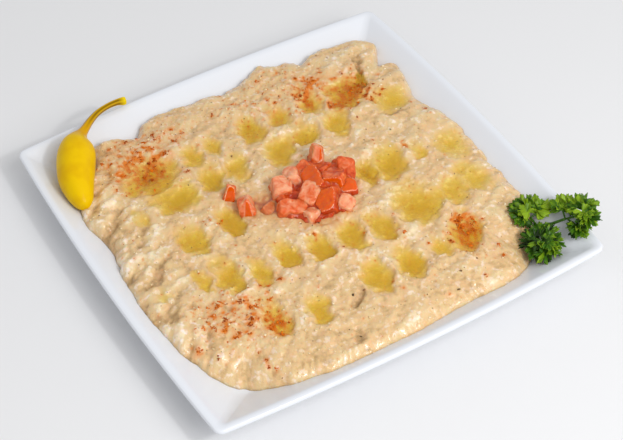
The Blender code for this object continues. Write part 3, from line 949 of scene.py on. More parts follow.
class MEZE_OT_dip(Operator):
    """Make the baba ganoush, spread over the plate"""

    bl_idname = "meze.dip"
    bl_label = "Dip"

    def execute(self, context):
        settings = context.scene.meze_dip
        dip, x, y = spread_grid("aubergine_dip", settings.cells)
        height, fine = dip_parts(x, y)
        set_coordinates(dip, np.stack([x, y, height], 1))
        over = oil_level(x, y) - height + 0.7 * fine
        # painted light and shade from the relief: crests paler, creases darker
        write_attribute(dip, "crest", np.clip(0.5 + 0.3 * fine - 0.16 * creased(x, y), 0, 1))
        write_attribute(dip, "oil", np.clip((over + 1.3) / 4.2, 0, 1))
        write_attribute(dip, "stain", stained(x, y))
        write_attribute(dip, "juice", juicy(x, y))
        select_only(dip)
        bpy.ops.object.mode_set(mode="EDIT")
        bpy.ops.mesh.select_all(action="DESELECT")
        bpy.ops.mesh.select_mode(type="EDGE")
        bpy.ops.mesh.select_non_manifold()
        bpy.ops.mesh.extrude_region_move()
        bpy.ops.transform.resize(
            value=(FOOT_SHARE, FOOT_SHARE, 0), center_override=(0, 0, (FLOOR_HEIGHT - 1) * MM)
        )
        bpy.ops.mesh.edge_face_add()
        bpy.ops.mesh.select_all(action="SELECT")
        bpy.ops.mesh.normals_make_consistent(inside=False)
        bpy.ops.object.mode_set(mode="OBJECT")
        finish_piece(dip, aubergine_dip(settings), "dip", "baba_ganoush")
        return {"FINISHED"}


class MEZE_OT_oil(Operator):
    """Make the olive oil that fills the finger marks"""

    bl_idname = "meze.oil"
    bl_label = "Olive oil"

    def execute(self, context):
        oil, x, y = spread_grid("olive_oil", context.scene.meze_dip.cells)
        height, _ = dip_parts(x, y)
        level = oil_level(x, y)
        depth = level - height
        set_coordinates(oil, np.stack([x, y, np.maximum(level, height - 1.0)], 1))
        write_attribute(oil, "depth", np.clip(depth / 3.2, 0, 1))
        write_attribute(oil, "stain", 0.8 * stained(x, y))
        covered = depth > -0.15
        corners = np.empty(len(oil.data.loops), np.int32)
        oil.data.loops.foreach_get("vertex_index", corners)
        dry = ~covered[corners.reshape(-1, 4)].any(axis=1)
        select_only(oil)
        bpy.ops.object.mode_set(mode="EDIT")
        bpy.ops.mesh.select_mode(type="FACE")
        bpy.ops.mesh.select_all(action="DESELECT")
        bpy.ops.object.mode_set(mode="OBJECT")
        oil.data.polygons.foreach_set("select", dry)
        bpy.ops.object.mode_set(mode="EDIT")
        bpy.ops.mesh.delete(type="FACE")
        bpy.ops.object.mode_set(mode="OBJECT")
        apply_modifier(oil, "SOLIDIFY", thickness=0.7 * MM, offset=-1)
        finish_piece(oil, olive_oil(context.scene.meze_oil), "dip")
        return {"FINISHED"}


# ---------------------------------------------------------------- sprinkles


class SpiceSettings(PropertyGroup):
    paprika: colour("#9C3C02", "Paprika", "Colour of the dark paprika grains")
    bright: colour("#E87812", "Bright paprika", "Colour of the light paprika grains")
    char: colour("#5A4632", "Char", "Colour of the flecks of charred skin")
    seed: colour("#E8CB96", "Seed", "Colour of the aubergine seeds")


def strewn(name, shapes, places, sizes, flat, tones, seed):
    """One mesh of many small copies: each place gets one of the shapes, turned at random and laid on the dip."""
    chance = np.random.default_rng(seed)
    points, faces, shades, start = [], [], [], 0
    x, y = places[:, 0], places[:, 1]
    height = dip_parts(x, y)[0]
    level = oil_level(x, y)
    height = np.where(level > height, level, height)
    for number in range(len(places)):
        corners, sides = shapes[number % len(shapes)]
        turn = np.array(Matrix.Rotation(chance.uniform(0, 2 * math.pi), 3, "Z"))
        lean = Matrix.Rotation(chance.normal(0, 0.35), 3, "X") @ Matrix.Rotation(chance.normal(0, 0.35), 3, "Y")
        stretch = np.array([chance.uniform(0.8, 1.5), chance.uniform(0.6, 1.0), flat]) * sizes[number]
        placed = (corners * stretch) @ (np.array(lean) @ turn).T
        points.append(placed + [x[number], y[number], height[number] + 0.12 * sizes[number] * flat])
        faces.append(sides + start)
        shades.append(np.full(len(corners), tones[number]))
        start += len(corners)
    data = bpy.data.meshes.new(name)
    data.from_pydata((np.concatenate(points) * MM).tolist(), [], np.concatenate(faces).tolist())
    piece = bpy.data.objects.new(name, data)
    bpy.context.scene.collection.objects.link(piece)
    write_attribute(piece, "shade", np.concatenate(shades))
    return piece


def grain_shapes(count, roughness, seed, detail=1):
    """A few uneven grains of about one millimetre: ball meshes with their points pushed in and out."""
    chance = np.random.default_rng(seed)
    shapes = []
    for _ in range(count):
        bpy.ops.object.select_all(action="DESELECT")
        bpy.ops.mesh.primitive_ico_sphere_add(subdivisions=detail, radius=0.5 * MM)
        grain = bpy.context.object
        corners = coordinates(grain)
        corners *= 1 + roughness * chance.uniform(-1, 1, (len(corners), 1))
        sides = np.array([list(side.vertices) for side in grain.data.polygons])
        shapes.append((corners, sides))
        bpy.data.objects.remove(grain)
    return shapes


def sprinkle_finish(name, dark, light, roughness):
    """Ground dry spice or a fleck of pulp, damp from the dip: matt, and each grain of its own tone."""
    made, tree, shader = new_material(name, Roughness=roughness, Specular_IOR_Level=0.1)
    shade = add(tree, "ShaderNodeAttribute", attribute_name="shade").outputs["Fac"]
    tone = add(tree, "ShaderNodeValToRGB", {"Fac": shade}, stops=((0.0, tuple(dark)), (1.0, tuple(light))))
    tree.links.new(tone.outputs["Color"], shader.inputs["Base Color"])
    return made


def on_dip(places):
    """The places that lie well inside the dip's edge."""
    reach = dip_reach(np.arctan2(places[:, 1], places[:, 0]))
    return places[np.hypot(places[:, 0], places[:, 1]) < reach - 1.5]


class MEZE_OT_sprinkles(Operator):
    """Make the paprika, the charred flecks and the aubergine seeds"""

    bl_idname = "meze.sprinkles"
    bl_label = "Sprinkles"

    def execute(self, context):
        settings = context.scene.meze_spice
        chance = np.random.default_rng(8)
        clumps, wide = paprika_clumps()
        number = np.clip(np.round(wide * wide * 2.6), 1, 16).astype(int)
        middle, wide = np.repeat(clumps, number, axis=0), np.repeat(wide, number)
        places = middle + chance.normal(0, 0.34, middle.shape) * wide[:, None]
        sizes = np.minimum(wide, 1.5) * chance.uniform(0.5, 0.9, len(wide))
        tones = np.repeat(chance.uniform(0, 0.9, len(clumps)), number) + chance.normal(0, 0.15, len(wide))
        grains = grain_shapes(6, 0.35, 11)
        paprika = strewn("paprika", grains, places, sizes, 0.35, np.clip(tones, 0, 1), 12)
        finish_piece(paprika, sprinkle_finish("ground paprika", settings.paprika, settings.bright, 0.6), "dip")

        spots = on_dip(chance.uniform(-118, 118, (SPECKS, 2)))
        big = np.array([(x, y) for x, y, _ in CHAR_FLECKS])
        sizes = np.concatenate([chance.uniform(0.3, 0.85, len(spots)), [size for _, _, size in CHAR_FLECKS]])
        places = np.concatenate([spots, big])
        flecks = strewn("char_flecks", grains, places, sizes, 0.4, chance.uniform(0, 1, len(places)), 13)
        finish_piece(flecks, sprinkle_finish("charred skin", settings.char, (0.35, 0.17, 0.07), 0.6), "dip")

        places = on_dip(chance.uniform(-118, 118, (SEEDS, 2)))
        dry = oil_level(*places.T) < dip_parts(*places.T)[0]
        places = places[dry]
        smooth = grain_shapes(2, 0.06, 14)
        sizes = chance.uniform(1.0, 1.9, len(places))
        seeds = strewn("aubergine_seeds", smooth, places, sizes, 0.5, chance.uniform(0, 1, len(places)), 15)
        finish_piece(seeds, sprinkle_finish("aubergine seed", settings.seed, (0.9, 0.75, 0.5), 0.3), "dip")
        return {"FINISHED"}


# ---------------------------------------------------------------- tomato

ALL_OVER = (-20.0, 20.0)
# For each die: the way its skin faces, as (x, y, z), or None for no skin; where the skin starts
# and ends, in millimetres from the die's middle along SKIN_ALONG; how red the flesh is, from 0
# to 1; how much the die narrows to its top; how tall it is beside its solid; how many times its
# surface is smoothed; and how far it is smeared with dip, from 0 to 1
DICE_LOOKS = (
    ((-0.44, -0.83, 0.34), ALL_OVER, 0.15, 0.5, 1.1, 10, 0.0),
    ((-0.51, -0.82, 0.24), (-2.2, 4.2), 0.06, 0.5, 1.0, 14, 0.1),
    (None, ALL_OVER, 0.25, 0.4, 0.75, 70, 0.7),
    (None, ALL_OVER, 0.04, 0.1, 1.0, 30, 0.0),
    (None, ALL_OVER, 0.18, 0.1, 0.95, 44, 0.0),
    ((-0.96, -0.26, -0.08), ALL_OVER, 0.02, 0.2, 1.0, 24, 0.0),
    (None, ALL_OVER, 0.10, 0.1, 1.0, 30, 0.0),
    ((-0.39, 0.12, 0.91), ALL_OVER, 0.30, 0.0, 1.0, 6, 0.0),
    ((-0.65, -0.72, 0.24), ALL_OVER, 0.34, 0.0, 1.0, 8, 0.0),
    (None, ALL_OVER, 0.30, 0.1, 1.0, 16, 0.1),
    ((-0.04, -0.26, 0.96), ALL_OVER, 0.42, 0.1, 1.0, 14, 0.15),
    ((-0.44, -0.04, 0.90), ALL_OVER, 0.45, 0.0, 1.0, 8, 0.0),
    (None, ALL_OVER, 0.00, 0.3, 0.9, 36, 0.0),
    (None, ALL_OVER, 0.00, 0.2, 1.0, 8, 0.0),
    ((-0.45, -0.78, 0.44), (-3.0, 20.0), 0.08, 0.6, 1.15, 10, 0.0),
    (None, ALL_OVER, 0.26, 0.2, 1.0, 40, 0.2),
    (None, ALL_OVER, 0.36, 0.0, 1.0, 30, 0.0),
)
SKIN_ALONG = (0.86, -0.51, 0.0)
DICE_SWELL = 1.2
DICE_STRETCH = 0.22  # each die is this much longer along a direction of its own
BAND_TAPER = 0.55  # how much narrower the skin is at the top of a die
# pale rim lines at the skin's cut edges: partly the thin skin's own paler edge, partly painted highlight of wet edges
RIM_WIDTH = 0.5
RIM_MARGIN = 0.14  # how alike two sides' directions must be for a place to lie on the edge between them
PULP_REACH = 17.0  # dice closer than this have a bit of pulp between them
PULP_ROUND = 2  # more bits of pulp that lie round each die of the heap
PULP_FILL = 2.4  # soft pulp fills gaps up to twice this
PULP_SINK = 1.1  # and stays this far inside the dice
# Wet pulp along the heap's near edge: (x, y, width)
PULP_EDGE = (
    (-17, -7, 6),
    (-14, -12, 5),
    (-8, -17, 6),
    (-1, -20, 6),
    (6, -22, 5),
    (-12, 3, 7),
    (0, 12, 7),
    (20, 0, 7),
)
LOOSE_DICE = 3  # the first dice lie apart from the heap


class TomatoSettings(PropertyGroup):
    skin: colour("#DE5A00", "Skin", "Colour of the tomato's skin side")
    pale: colour("#F0AC84", "Pale flesh", "Colour of the palest cut flesh")
    middle: colour("#E06830", "Flesh", "Colour of most of the flesh")
    # red is also painted shade, low on the dice and in the pulp between them
    red: colour("#BC3A06", "Red flesh", "Colour of the reddest cut flesh")
    # rim: partly the skin's paler cut edge, partly a painted highlight
    rim: colour("#FFD6B4", "Rim", "Colour of the cut edge of the skin, where it is thin")
    smear: colour("#C08C58", "Smear", "Colour of dip smeared over a die")
    edge: FloatProperty(name="Edge", description="Rounding of a die's edges", default=0.0008, unit="LENGTH")


def cut_tomato(settings):
    """Fresh cut tomato: wet flesh that lets light in, paler at its fibres, and a tight waxy skin on one side."""
    made, tree, shader = new_material(
        "cut tomato",
        Subsurface_Weight=0.6,
        Subsurface_Radius=(1.0, 0.4, 0.2),
        Subsurface_Scale=0.005,
        Roughness=0.4,
        Specular_IOR_Level=0.08,
        Coat_Weight=0.6,
        Coat_Roughness=0.06,
    )
    place = add(tree, "ShaderNodeTexCoord").outputs["Object"]
    skin = add(tree, "ShaderNodeAttribute", attribute_name="skin").outputs["Fac"]
    redness = add(tree, "ShaderNodeAttribute", attribute_name="redness").outputs["Fac"]
    rim = add(tree, "ShaderNodeAttribute", attribute_name="rim").outputs["Fac"]
    fibre = add(tree, "ShaderNodeTexNoise", {"Vector": place, "Scale": 1 / 0.004, "Detail": 3, "Distortion": 0.6})
    # redness: the flesh's own redness plus painted shade, redder and darker low down
    tone = add(
        tree,
        "ShaderNodeMath",
        {0: fibre.outputs["Fac"], 1: 1.0, 2: redness},
        operation="MULTIPLY_ADD",
    )
    flesh = add(
        tree,
        "ShaderNodeValToRGB",
        {"Fac": tone.outputs[0]},
        stops=((0.42, tuple(settings.pale)), (0.75, tuple(settings.middle)), (1.0, tuple(settings.red))),
    )
    skinned = add(
        tree,
        "ShaderNodeMixRGB",
        {"Fac": skin, "Color1": flesh.outputs["Color"], "Color2": tuple(settings.skin)},
    )
    # rim lines: partly the skin's paler edge, partly painted highlight
    colours = add(
        tree,
        "ShaderNodeMixRGB",
        {"Fac": rim, "Color1": skinned.outputs["Color"], "Color2": tuple(settings.rim)},
    )
    smear = add(tree, "ShaderNodeAttribute", attribute_name="smear").outputs["Fac"]
    smeared = add(
        tree,
        "ShaderNodeMixRGB",
        {"Fac": smear, "Color1": colours.outputs["Color"], "Color2": tuple(settings.smear)},
    )
    grain = add(tree, "ShaderNodeTexNoise", {"Vector": place, "Scale": 1 / 0.0014, "Detail": 2})
    bump = add(tree, "ShaderNodeBump", {"Height": grain.outputs["Fac"], "Strength": 0.12, "Distance": 0.0003})
    tree.links.new(smeared.outputs["Color"], shader.inputs["Base Color"])
    tree.links.new(bump.outputs["Normal"], shader.inputs["Normal"])
    return made


class MEZE_OT_tomato(Operator):
    """Make the heap of diced tomato, one piece for each die"""

    bl_idname = "meze.tomato"
    bl_label = "Tomato dice"

    def execute(self, context):
        settings = context.scene.meze_tomato
        material = cut_tomato(settings)
        swells = bpy.data.textures.new("tomato swells", "CLOUDS")
        swells.noise_scale = 7.0 * MM
        uneven = bpy.data.textures.new("tomato lumps", "CLOUDS")
        uneven.noise_scale = 2.2 * MM
        names = sorted(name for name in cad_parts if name.startswith("tomato_dice"))
        middles = []
        heap = []
        for name, (facing, band, redness, narrowing, tallness, softness, smear) in zip(names, DICE_LOOKS, strict=True):
            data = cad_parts[name].data.copy()
            die = bpy.data.objects.new(name.replace("dice", "die"), data)
            context.scene.collection.objects.link(die)
            select_only(die)
            bpy.ops.object.mode_set(mode="EDIT")
            bpy.ops.mesh.select_all(action="SELECT")
            bpy.ops.mesh.remove_doubles(threshold=0.01 * MM)
            bpy.ops.mesh.dissolve_limited(angle_limit=math.radians(2))
            bpy.ops.object.mode_set(mode="OBJECT")
            faces = die.data.polygons
            sides = np.array([tuple(side.normal) for side in faces])
            areas = np.array([side.area for side in faces])
            apply_modifier(
                die, "BEVEL", width=settings.edge, segments=2, limit_method="ANGLE", angle_limit=math.radians(20)
            )
            apply_modifier(die, "REMESH", mode="VOXEL", voxel_size=0.42 * MM, use_smooth_shade=True)
            normals = np.empty(len(die.data.vertices) * 3, np.float32)
            die.data.vertices.foreach_get("normal", normals)
            likeness = normals.reshape(-1, 3) @ sides.T
            ranked = np.argsort(likeness, axis=1)
            nearest, second = ranked[:, -1], ranked[:, -2]
            row = np.arange(len(likeness))
            shown = areas * np.maximum(sides @ np.array(facing), 0) ** 8 if facing else np.zeros(len(sides))
            skinned = (shown == shown.max()) & (shown > 0)
            border = np.clip(1 - (likeness[row, nearest] - likeness[row, second]) / RIM_MARGIN, 0, 1)
            points = coordinates(die)
            middle = points.mean(0)
            middles.append(middle)
            low, high = points[:, 2].min(), points[:, 2].max()
            rise = (points[:, 2] - low) / (high - low)
            taper = 1 - BAND_TAPER * rise
            across = ((points - middle) @ np.array(SKIN_ALONG) - (band[0] + band[1]) / 2) / taper
            edge = abs(across) - (band[1] - band[0]) / 2
            skin = skinned[nearest] & (edge < 0)
            # rim lines along the skin's sides and ends, partly painted highlight
            at_side = np.where(skinned[nearest] != skinned[second], border, 0.0) * (edge < 0)
            at_end = 0.25 * skinned[nearest] * np.exp(-((edge / RIM_WIDTH) ** 2))
            write_attribute(die, "skin", np.where(skin, 1.0, 0.0))
            write_attribute(die, "rim", np.maximum(at_side, at_end))
            # painted shade: each die is redder and darker low down, so the heap's gaps look shaded
            write_attribute(die, "redness", redness + 0.35 * (1 - rise) ** 1.5)
            write_attribute(die, "smear", np.clip(smear + 0.5 * (0.3 - rise), 0, 1))
            points[:, :2] = middle[:2] + (points[:, :2] - middle[:2]) * (1 - narrowing * rise)[:, None]
            away = points - middle
            turn = 2.4 * len(middles)
            along = away @ np.array((math.cos(turn), math.sin(turn), 0.0))
            stretched = np.outer(along, (math.cos(turn), math.sin(turn), 0.0))
            points = middle + away * DICE_SWELL + stretched * DICE_STRETCH
            points[:, 2] = low + (points[:, 2] - low) * tallness
            set_coordinates(die, points)
            apply_modifier(die, "SMOOTH", factor=0.5, iterations=softness)
            apply_modifier(die, "DISPLACE", texture=swells, texture_coords="LOCAL", strength=2.6 * MM, mid_level=0.5)
            apply_modifier(die, "DISPLACE", texture=uneven, texture_coords="LOCAL", strength=0.4 * MM, mid_level=0.5)
            finish_piece(die, material, "tomato", name)
            heap.append(die)
        chance = np.random.default_rng(21)
        places = []
        for number, one in enumerate(middles):
            for other in middles[number + 1 :]:
                if number >= LOOSE_DICE and np.hypot(*(one - other)[:2]) < PULP_REACH:
                    places.append((one + other)[:2] / 2 + chance.normal(0, 1.6, 2))
            for turn in chance.uniform(0, 2 * math.pi, PULP_ROUND if number >= LOOSE_DICE else 0):
                away = chance.uniform(3, 6)
                places.append(one[:2] + away * np.array((math.cos(turn), math.sin(turn))))
        sizes = chance.uniform(3.5, 6.5, len(places))
        places = np.array(places + [(x, y) for x, y, _ in PULP_EDGE])
        sizes = np.concatenate([sizes, [width for _, _, width in PULP_EDGE]])
        bits = grain_shapes(5, 0.1, 22, 3)
        pulp = strewn("tomato_pulp", bits, places, sizes, 0.6, np.zeros(len(places)), 23)
        bpy.ops.object.select_all(action="DESELECT")
        for die in heap[LOOSE_DICE:]:
            copy = bpy.data.objects.new("copy", die.data.copy())
            context.scene.collection.objects.link(copy)
            copy.select_set(True)
        pulp.select_set(True)
        context.view_layer.objects.active = pulp
        bpy.ops.object.join()
        for move in (PULP_FILL, -PULP_FILL - PULP_SINK):
            apply_modifier(pulp, "REMESH", mode="VOXEL", voxel_size=0.6 * MM, use_smooth_shade=True)
            apply_modifier(pulp, "DISPLACE", strength=move * MM, mid_level=0)
        apply_modifier(pulp, "REMESH", mode="VOXEL", voxel_size=0.5 * MM, use_smooth_shade=True)
        apply_modifier(pulp, "SMOOTH", factor=0.5, iterations=6)
        apply_modifier(pulp, "DISPLACE", texture=uneven, texture_coords="LOCAL", strength=0.8 * MM, mid_level=0.5)
        points = coordinates(pulp)
        rise = (points[:, 2] - points[:, 2].min()) / np.ptp(points[:, 2])
        write_attribute(pulp, "skin", np.zeros(len(points)))
        write_attribute(pulp, "rim", np.zeros(len(points)))
        patches = gradient_noise(points[:, 0] / 5, points[:, 1] / 5, 62)
        # painted shade: the pulp is redder and darker low down, in the heap's gaps
        write_attribute(pulp, "redness", 0.75 - 0.55 * rise + 0.2 * patches)
        write_attribute(pulp, "smear", np.zeros(len(points)))
        finish_piece(pulp, material, "tomato")
        return {"FINISHED"}


# ---------------------------------------------------------------- pepper

# Stations along the middle line from the tip to the stem's cut end: (x, y, z, radius)
PEPPER_BODY = (
    (-108.4, 61.8, 19.2, 1.3),
    (-108.2, 62.4, 19.3, 2.9),
    (-107.8, 64.2, 19.7, 4.7),
    (-107.0, 68.6, 20.6, 6.9),
    (-105.8, 75.0, 22.0, 9.0),
    (-103.6, 83.0, 23.6, 10.8),
    (-99.2, 92.0, 25.2, 11.5),
    (-95.3, 99.0, 26.4, 11.2),
    (-92.4, 104.0, 27.2, 9.4),
    (-89.6, 107.4, 27.8, 6.4),
    (-86.6, 110.0, 28.2, 3.8),
)
PEPPER_STEM = (
    (-82.8, 112.9, 28.3, 2.6),
    (-76.6, 117.9, 28.3, 2.1),
    (-69.6, 122.3, 28.0, 1.8),
    (-61.8, 124.8, 27.6, 1.7),
    (-55.4, 125.3, 27.2, 1.9),
    (-51.8, 124.6, 26.9, 2.4),
    (-50.3, 124.3, 26.8, 2.0),
    (-49.8, 124.2, 26.8, 0.9),
)
PEPPER_SIDES = 36
PEPPER_STEPS = 5  # rings for each station
STEM_RIBS = 5


class PepperSettings(PropertyGroup):
    skin: colour("#E8BE00", "Skin", "Colour of the pickled pepper")
    shade: colour("#DEAE00", "Shade", "Darker colour in its furrows")
    neck: colour("#D49A00", "Neck", "Colour where the pepper meets its stem")
    # groove: painted shade in the stem's grooves
    stem: colour("#C49A0A", "Stem", "Colour of the stem's ridges")
    groove: colour("#8A6602", "Groove", "Colour of the stem's grooves")
    cut: colour("#E8CA10", "Cut end", "Colour of the stem's thick cut end")


def pickled_skin(settings):
    """Pepper skin out of brine: thin, waxy and tight, with slight furrows and an orange tinge at the neck."""
    made, tree, shader = new_material(
        "pickled pepper skin", Specular_IOR_Level=0.04, Coat_Weight=0.12, Coat_Roughness=0.05
    )
    place = add(tree, "ShaderNodeTexCoord").outputs["Object"]
    along = add(tree, "ShaderNodeAttribute", attribute_name="along").outputs["Fac"]
    rib = add(tree, "ShaderNodeAttribute", attribute_name="rib").outputs["Fac"]
    cloud = add(tree, "ShaderNodeTexNoise", {"Vector": place, "Scale": 1 / 0.011, "Detail": 2})
    skin = add(
        tree,
        "ShaderNodeValToRGB",
        {"Fac": cloud.outputs["Fac"]},
        stops=((0.35, tuple(settings.shade)), (0.6, tuple(settings.skin))),
    )
    # the stem is painted darker in its grooves as painted shade, lighter on its ridges
    stem = add(
        tree,
        "ShaderNodeValToRGB",
        {"Fac": rib},
        stops=((0.2, tuple(settings.groove)), (0.8, tuple(settings.stem))),
    )
    stem_part = add(
        tree,
        "ShaderNodeValToRGB",
        {"Fac": along},
        stops=((0.0, 0.0), (0.54, 0.0), (0.66, 1.0), (1.0, 1.0)),
    )
    neck_part = add(
        tree,
        "ShaderNodeValToRGB",
        {"Fac": along},
        stops=((0.0, 0.0), (0.44, 0.0), (0.54, 0.9), (0.62, 0.6), (0.7, 0.0)),
    )
    cut_part = add(tree, "ShaderNodeValToRGB", {"Fac": along}, stops=((0.0, 0.0), (0.84, 0.0), (0.9, 1.0)))
    body = add(
        tree,
        "ShaderNodeMixRGB",
        {"Fac": stem_part.outputs["Color"], "Color1": skin.outputs["Color"], "Color2": stem.outputs["Color"]},
    )
    necked = add(
        tree,
        "ShaderNodeMixRGB",
        {"Fac": neck_part.outputs["Color"], "Color1": body.outputs["Color"], "Color2": tuple(settings.neck)},
    )
    colours = add(
        tree,
        "ShaderNodeMixRGB",
        {"Fac": cut_part.outputs["Color"], "Color1": necked.outputs["Color"], "Color2": tuple(settings.cut)},
    )
    gloss = add(tree, "ShaderNodeMapRange", {"Value": cloud.outputs["Fac"], "To Min": 0.22, "To Max": 0.42})
    tree.links.new(colours.outputs["Color"], shader.inputs["Base Color"])
    tree.links.new(gloss.outputs["Result"], shader.inputs["Roughness"])
    return made


def smooth_line(stations, steps):
    """The stations joined by a smooth curve, with that many points for each."""
    given = np.array(stations, float)
    padded = np.vstack([2 * given[0] - given[1], given, 2 * given[-1] - given[-2]])
    line = []
    for number in range(len(given) - 1):
        a, b, c, d = padded[number : number + 4]
        for share in np.arange(steps) / steps:
            line.append(
                0.5
                * (
                    2 * b
                    + (c - a) * share
                    + (2 * a - 5 * b + 4 * c - d) * share**2
                    + (3 * b - a - 3 * c + d) * share**3
                )
            )
    line.append(given[-1])
    return np.array(line)


def tube(line, sides, ribs):
    """Rings round a bent line of (x, y, z, radius). ribs gives the radius's factor from station and angle."""
    points = [Vector(row[:3]) for row in line]
    side = Vector((0, 0, 1))
    rings = []
    for number in range(len(line)):
        ahead = (points[min(number + 1, len(points) - 1)] - points[max(number - 1, 0)]).normalized()
        side = (side - ahead * side.dot(ahead)).normalized()
        other = ahead.cross(side)
        ring = []
        for k in range(sides):
            angle = 2 * math.pi * k / sides
            radius = float(line[number][3]) * ribs(number / (len(line) - 1), angle)
            ring.append(points[number] + radius * (math.cos(angle) * side + math.sin(angle) * other))
        rings.append(ring)
    return rings


class MEZE_OT_pepper(Operator):
    """Make the pickled pepper with its stem"""

    bl_idname = "meze.pepper"
    bl_label = "Pickled pepper"

    def execute(self, context):
        line = smooth_line(PEPPER_BODY + PEPPER_STEM, PEPPER_STEPS)
        neck = (len(PEPPER_BODY) - 0.5) / (len(PEPPER_BODY) + len(PEPPER_STEM) - 1)

        def ribs(share, angle):
            furrow = 0.022 * math.cos(3 * angle + 0.6) + 0.008 * math.cos(7 * angle + 9 * share)
            ridge = 0.11 * math.cos(STEM_RIBS * angle + 1.5 * share)
            mix = min(1, max(0, (share - neck) / 0.06 + 0.5))
            return 1 + furrow * (1 - mix) + ridge * mix

        pepper = grow("pickled_pepper_skin", tube(line, PEPPER_SIDES, ribs))
        share, turn = read_attribute(pepper, "along"), read_attribute(pepper, "turn") * 2 * math.pi
        write_attribute(pepper, "rib", 0.5 + 0.5 * np.cos(STEM_RIBS * turn + 1.5 * share))
        apply_modifier(pepper, "SUBSURF", levels=1, render_levels=1)
        finish_piece(pepper, pickled_skin(context.scene.meze_pepper), "pickle", "pickled_pepper")
        return {"FINISHED"}


# ---------------------------------------------------------------- parsley

# Leaf fans: (x, y, z of the base; x, y, z of the middle finger's tip; fingers; how pale, 0 to 1, partly painted light:
# fans that catch the light paler, fans in the sprig's shaded gaps darker)
LEAF_FANS = (
    (102, -78, 21, 96, -68, 22, 7, 0.5),
    (103, -77, 22, 102, -64, 23, 7, 0.55),
    (105, -76, 22, 108, -67, 24, 6, 0.5),
    (101, -79, 20, 91, -77, 20, 6, 0.2),
    (101, -81, 24, 99, -74, 26, 5, 0.8),
    (107, -80, 22, 118, -75, 24, 5, 0.9),
    (107, -80, 21, 116, -80, 23, 5, 0.85),
    (107, -78, 22, 112, -71, 25, 5, 0.45),
    (99, -95, 19, 105, -86, 21, 7, 0.3),
    (101, -96, 19, 111, -97, 21, 7, 0.35),
    (100, -101, 20, 106, -109, 20, 7, 0.35),
    (98, -103, 19, 101, -113, 18, 7, 0.4),
    (96, -102, 18, 92, -113, 17, 7, 0.3),
    (95, -99, 18, 85, -105, 18, 7, 0.25),
    (95, -97, 19, 86, -92, 20, 7, 0.15),
    (96, -95, 20, 92, -87, 21, 6, 0.2),
    (96, -103, 23, 96, -111, 24, 6, 0.3),
    (95, -101, 23, 87, -103, 24, 6, 0.3),
    (98, -101, 23, 103, -104, 25, 5, 0.35),
    (116, -90, 26, 116, -82, 28, 6, 0.5),
    (118, -90, 26, 124, -81, 29, 6, 0.55),
    (119, -91, 27, 127, -86, 29, 6, 0.6),
    (122, -97, 30, 126, -88, 32, 6, 0.5),
    (124, -98, 31, 132, -90, 33, 7, 0.5),
    (125, -100, 32, 134, -97, 33, 7, 0.5),
    (124, -102, 32, 130, -107, 33, 7, 0.5),
    (122, -104, 31, 122, -115, 31, 7, 0.4),
    (121, -102, 33, 121, -111, 34, 6, 0.7),
    (120, -102, 31, 117, -98, 31, 5, 0.5),
    (118, -103, 24, 115, -113, 23, 7, 0.4),
    (120, -103, 25, 123, -110, 26, 7, 0.45),
    (118, -102, 23, 112, -107, 22, 5, 0.35),
)
# Stems: both ends as (x, y, z), and the radius
LEAF_STEMS = (
    ((102, -81, 20), (102, -88, 19.5), 0.7),
    ((106, -81, 21), (102, -81, 20), 0.5),
    ((102, -88, 19.5), (109, -92, 21), 0.8),
    ((109, -92, 21), (115, -96, 25), 0.8),
    ((115, -96, 25), (117, -91, 26), 0.55),
    ((115, -96, 25), (122, -103, 31), 0.6),
    ((116, -97, 25), (118, -102, 24), 0.5),
    ((102, -88, 19.5), (98, -99, 20), 0.7),
)
# Leaflets of a fan: how far along it they start, how far they reach forward and sideways,
# as shares of its length, and how much darker they are
LEAFLETS = ((0.25, 0.8, 0.0, -0.04), (0.05, 0.52, 0.5, 0.0), (0.05, 0.52, -0.5, 0.06))
FAN_RINGS = 6
LOBE_TEETH = 3
TOOTH_STEPS = 4  # points for each tooth
LEAF_THICKNESS = 0.22


class ParsleySettings(PropertyGroup):
    # dark is also painted shade in the sprig's gaps, and pale also painted highlight on leaves that catch the light
    dark: colour("#152806", "Dark", "Colour of the oldest leaves")
    fresh: colour("#3C660E", "Fresh", "Colour of most leaves")
    pale: colour("#86A41C", "Pale", "Colour of the youngest leaves")


def parsley_leaf(settings):
    """Parsley leaf: thin and deep green, glowing yellow-green where light comes through, with a soft waxy sheen."""
    made, tree, shader = new_material(
        "parsley leaf",
        Roughness=0.38,
        Specular_IOR_Level=0.2,
        Subsurface_Weight=0.2,
        Subsurface_Radius=(0.5, 1.0, 0.1),
        Subsurface_Scale=0.001,
    )
    place = add(tree, "ShaderNodeTexCoord").outputs["Object"]
    shade = add(tree, "ShaderNodeAttribute", attribute_name="shade").outputs["Fac"]
    cloud = add(tree, "ShaderNodeTexNoise", {"Vector": place, "Scale": 1 / 0.003, "Detail": 2})
    # shade carries the leaves' own tone together with painted light and shade
    tone = add(
        tree, "ShaderNodeMath", {0: cloud.outputs["Fac"], 1: 0.5, 2: shade}, operation="MULTIPLY_ADD"
    )
    colours = add(
        tree,
        "ShaderNodeValToRGB",
        {"Fac": tone.outputs[0]},
        stops=((0.25, tuple(settings.dark)), (0.65, tuple(settings.fresh)), (1.0, tuple(settings.pale))),
    )
    tree.links.new(colours.outputs["Color"], shader.inputs["Base Color"])
    return made


def leaflets(fan):
    """The three leaflets that a fan divides into, as smaller fans."""
    base, ahead = np.array(fan[0:3], float), np.array(fan[3:6], float) - np.array(fan[0:3], float)
    side = np.cross([0, 0, 1.0], ahead)
    for start, forward, sideways, darker in LEAFLETS:
        root = base + start * ahead
        tip = root + forward * ahead + sideways * side
        yield (*root, *tip, fan[6] - (sideways != 0), fan[7] - darker)


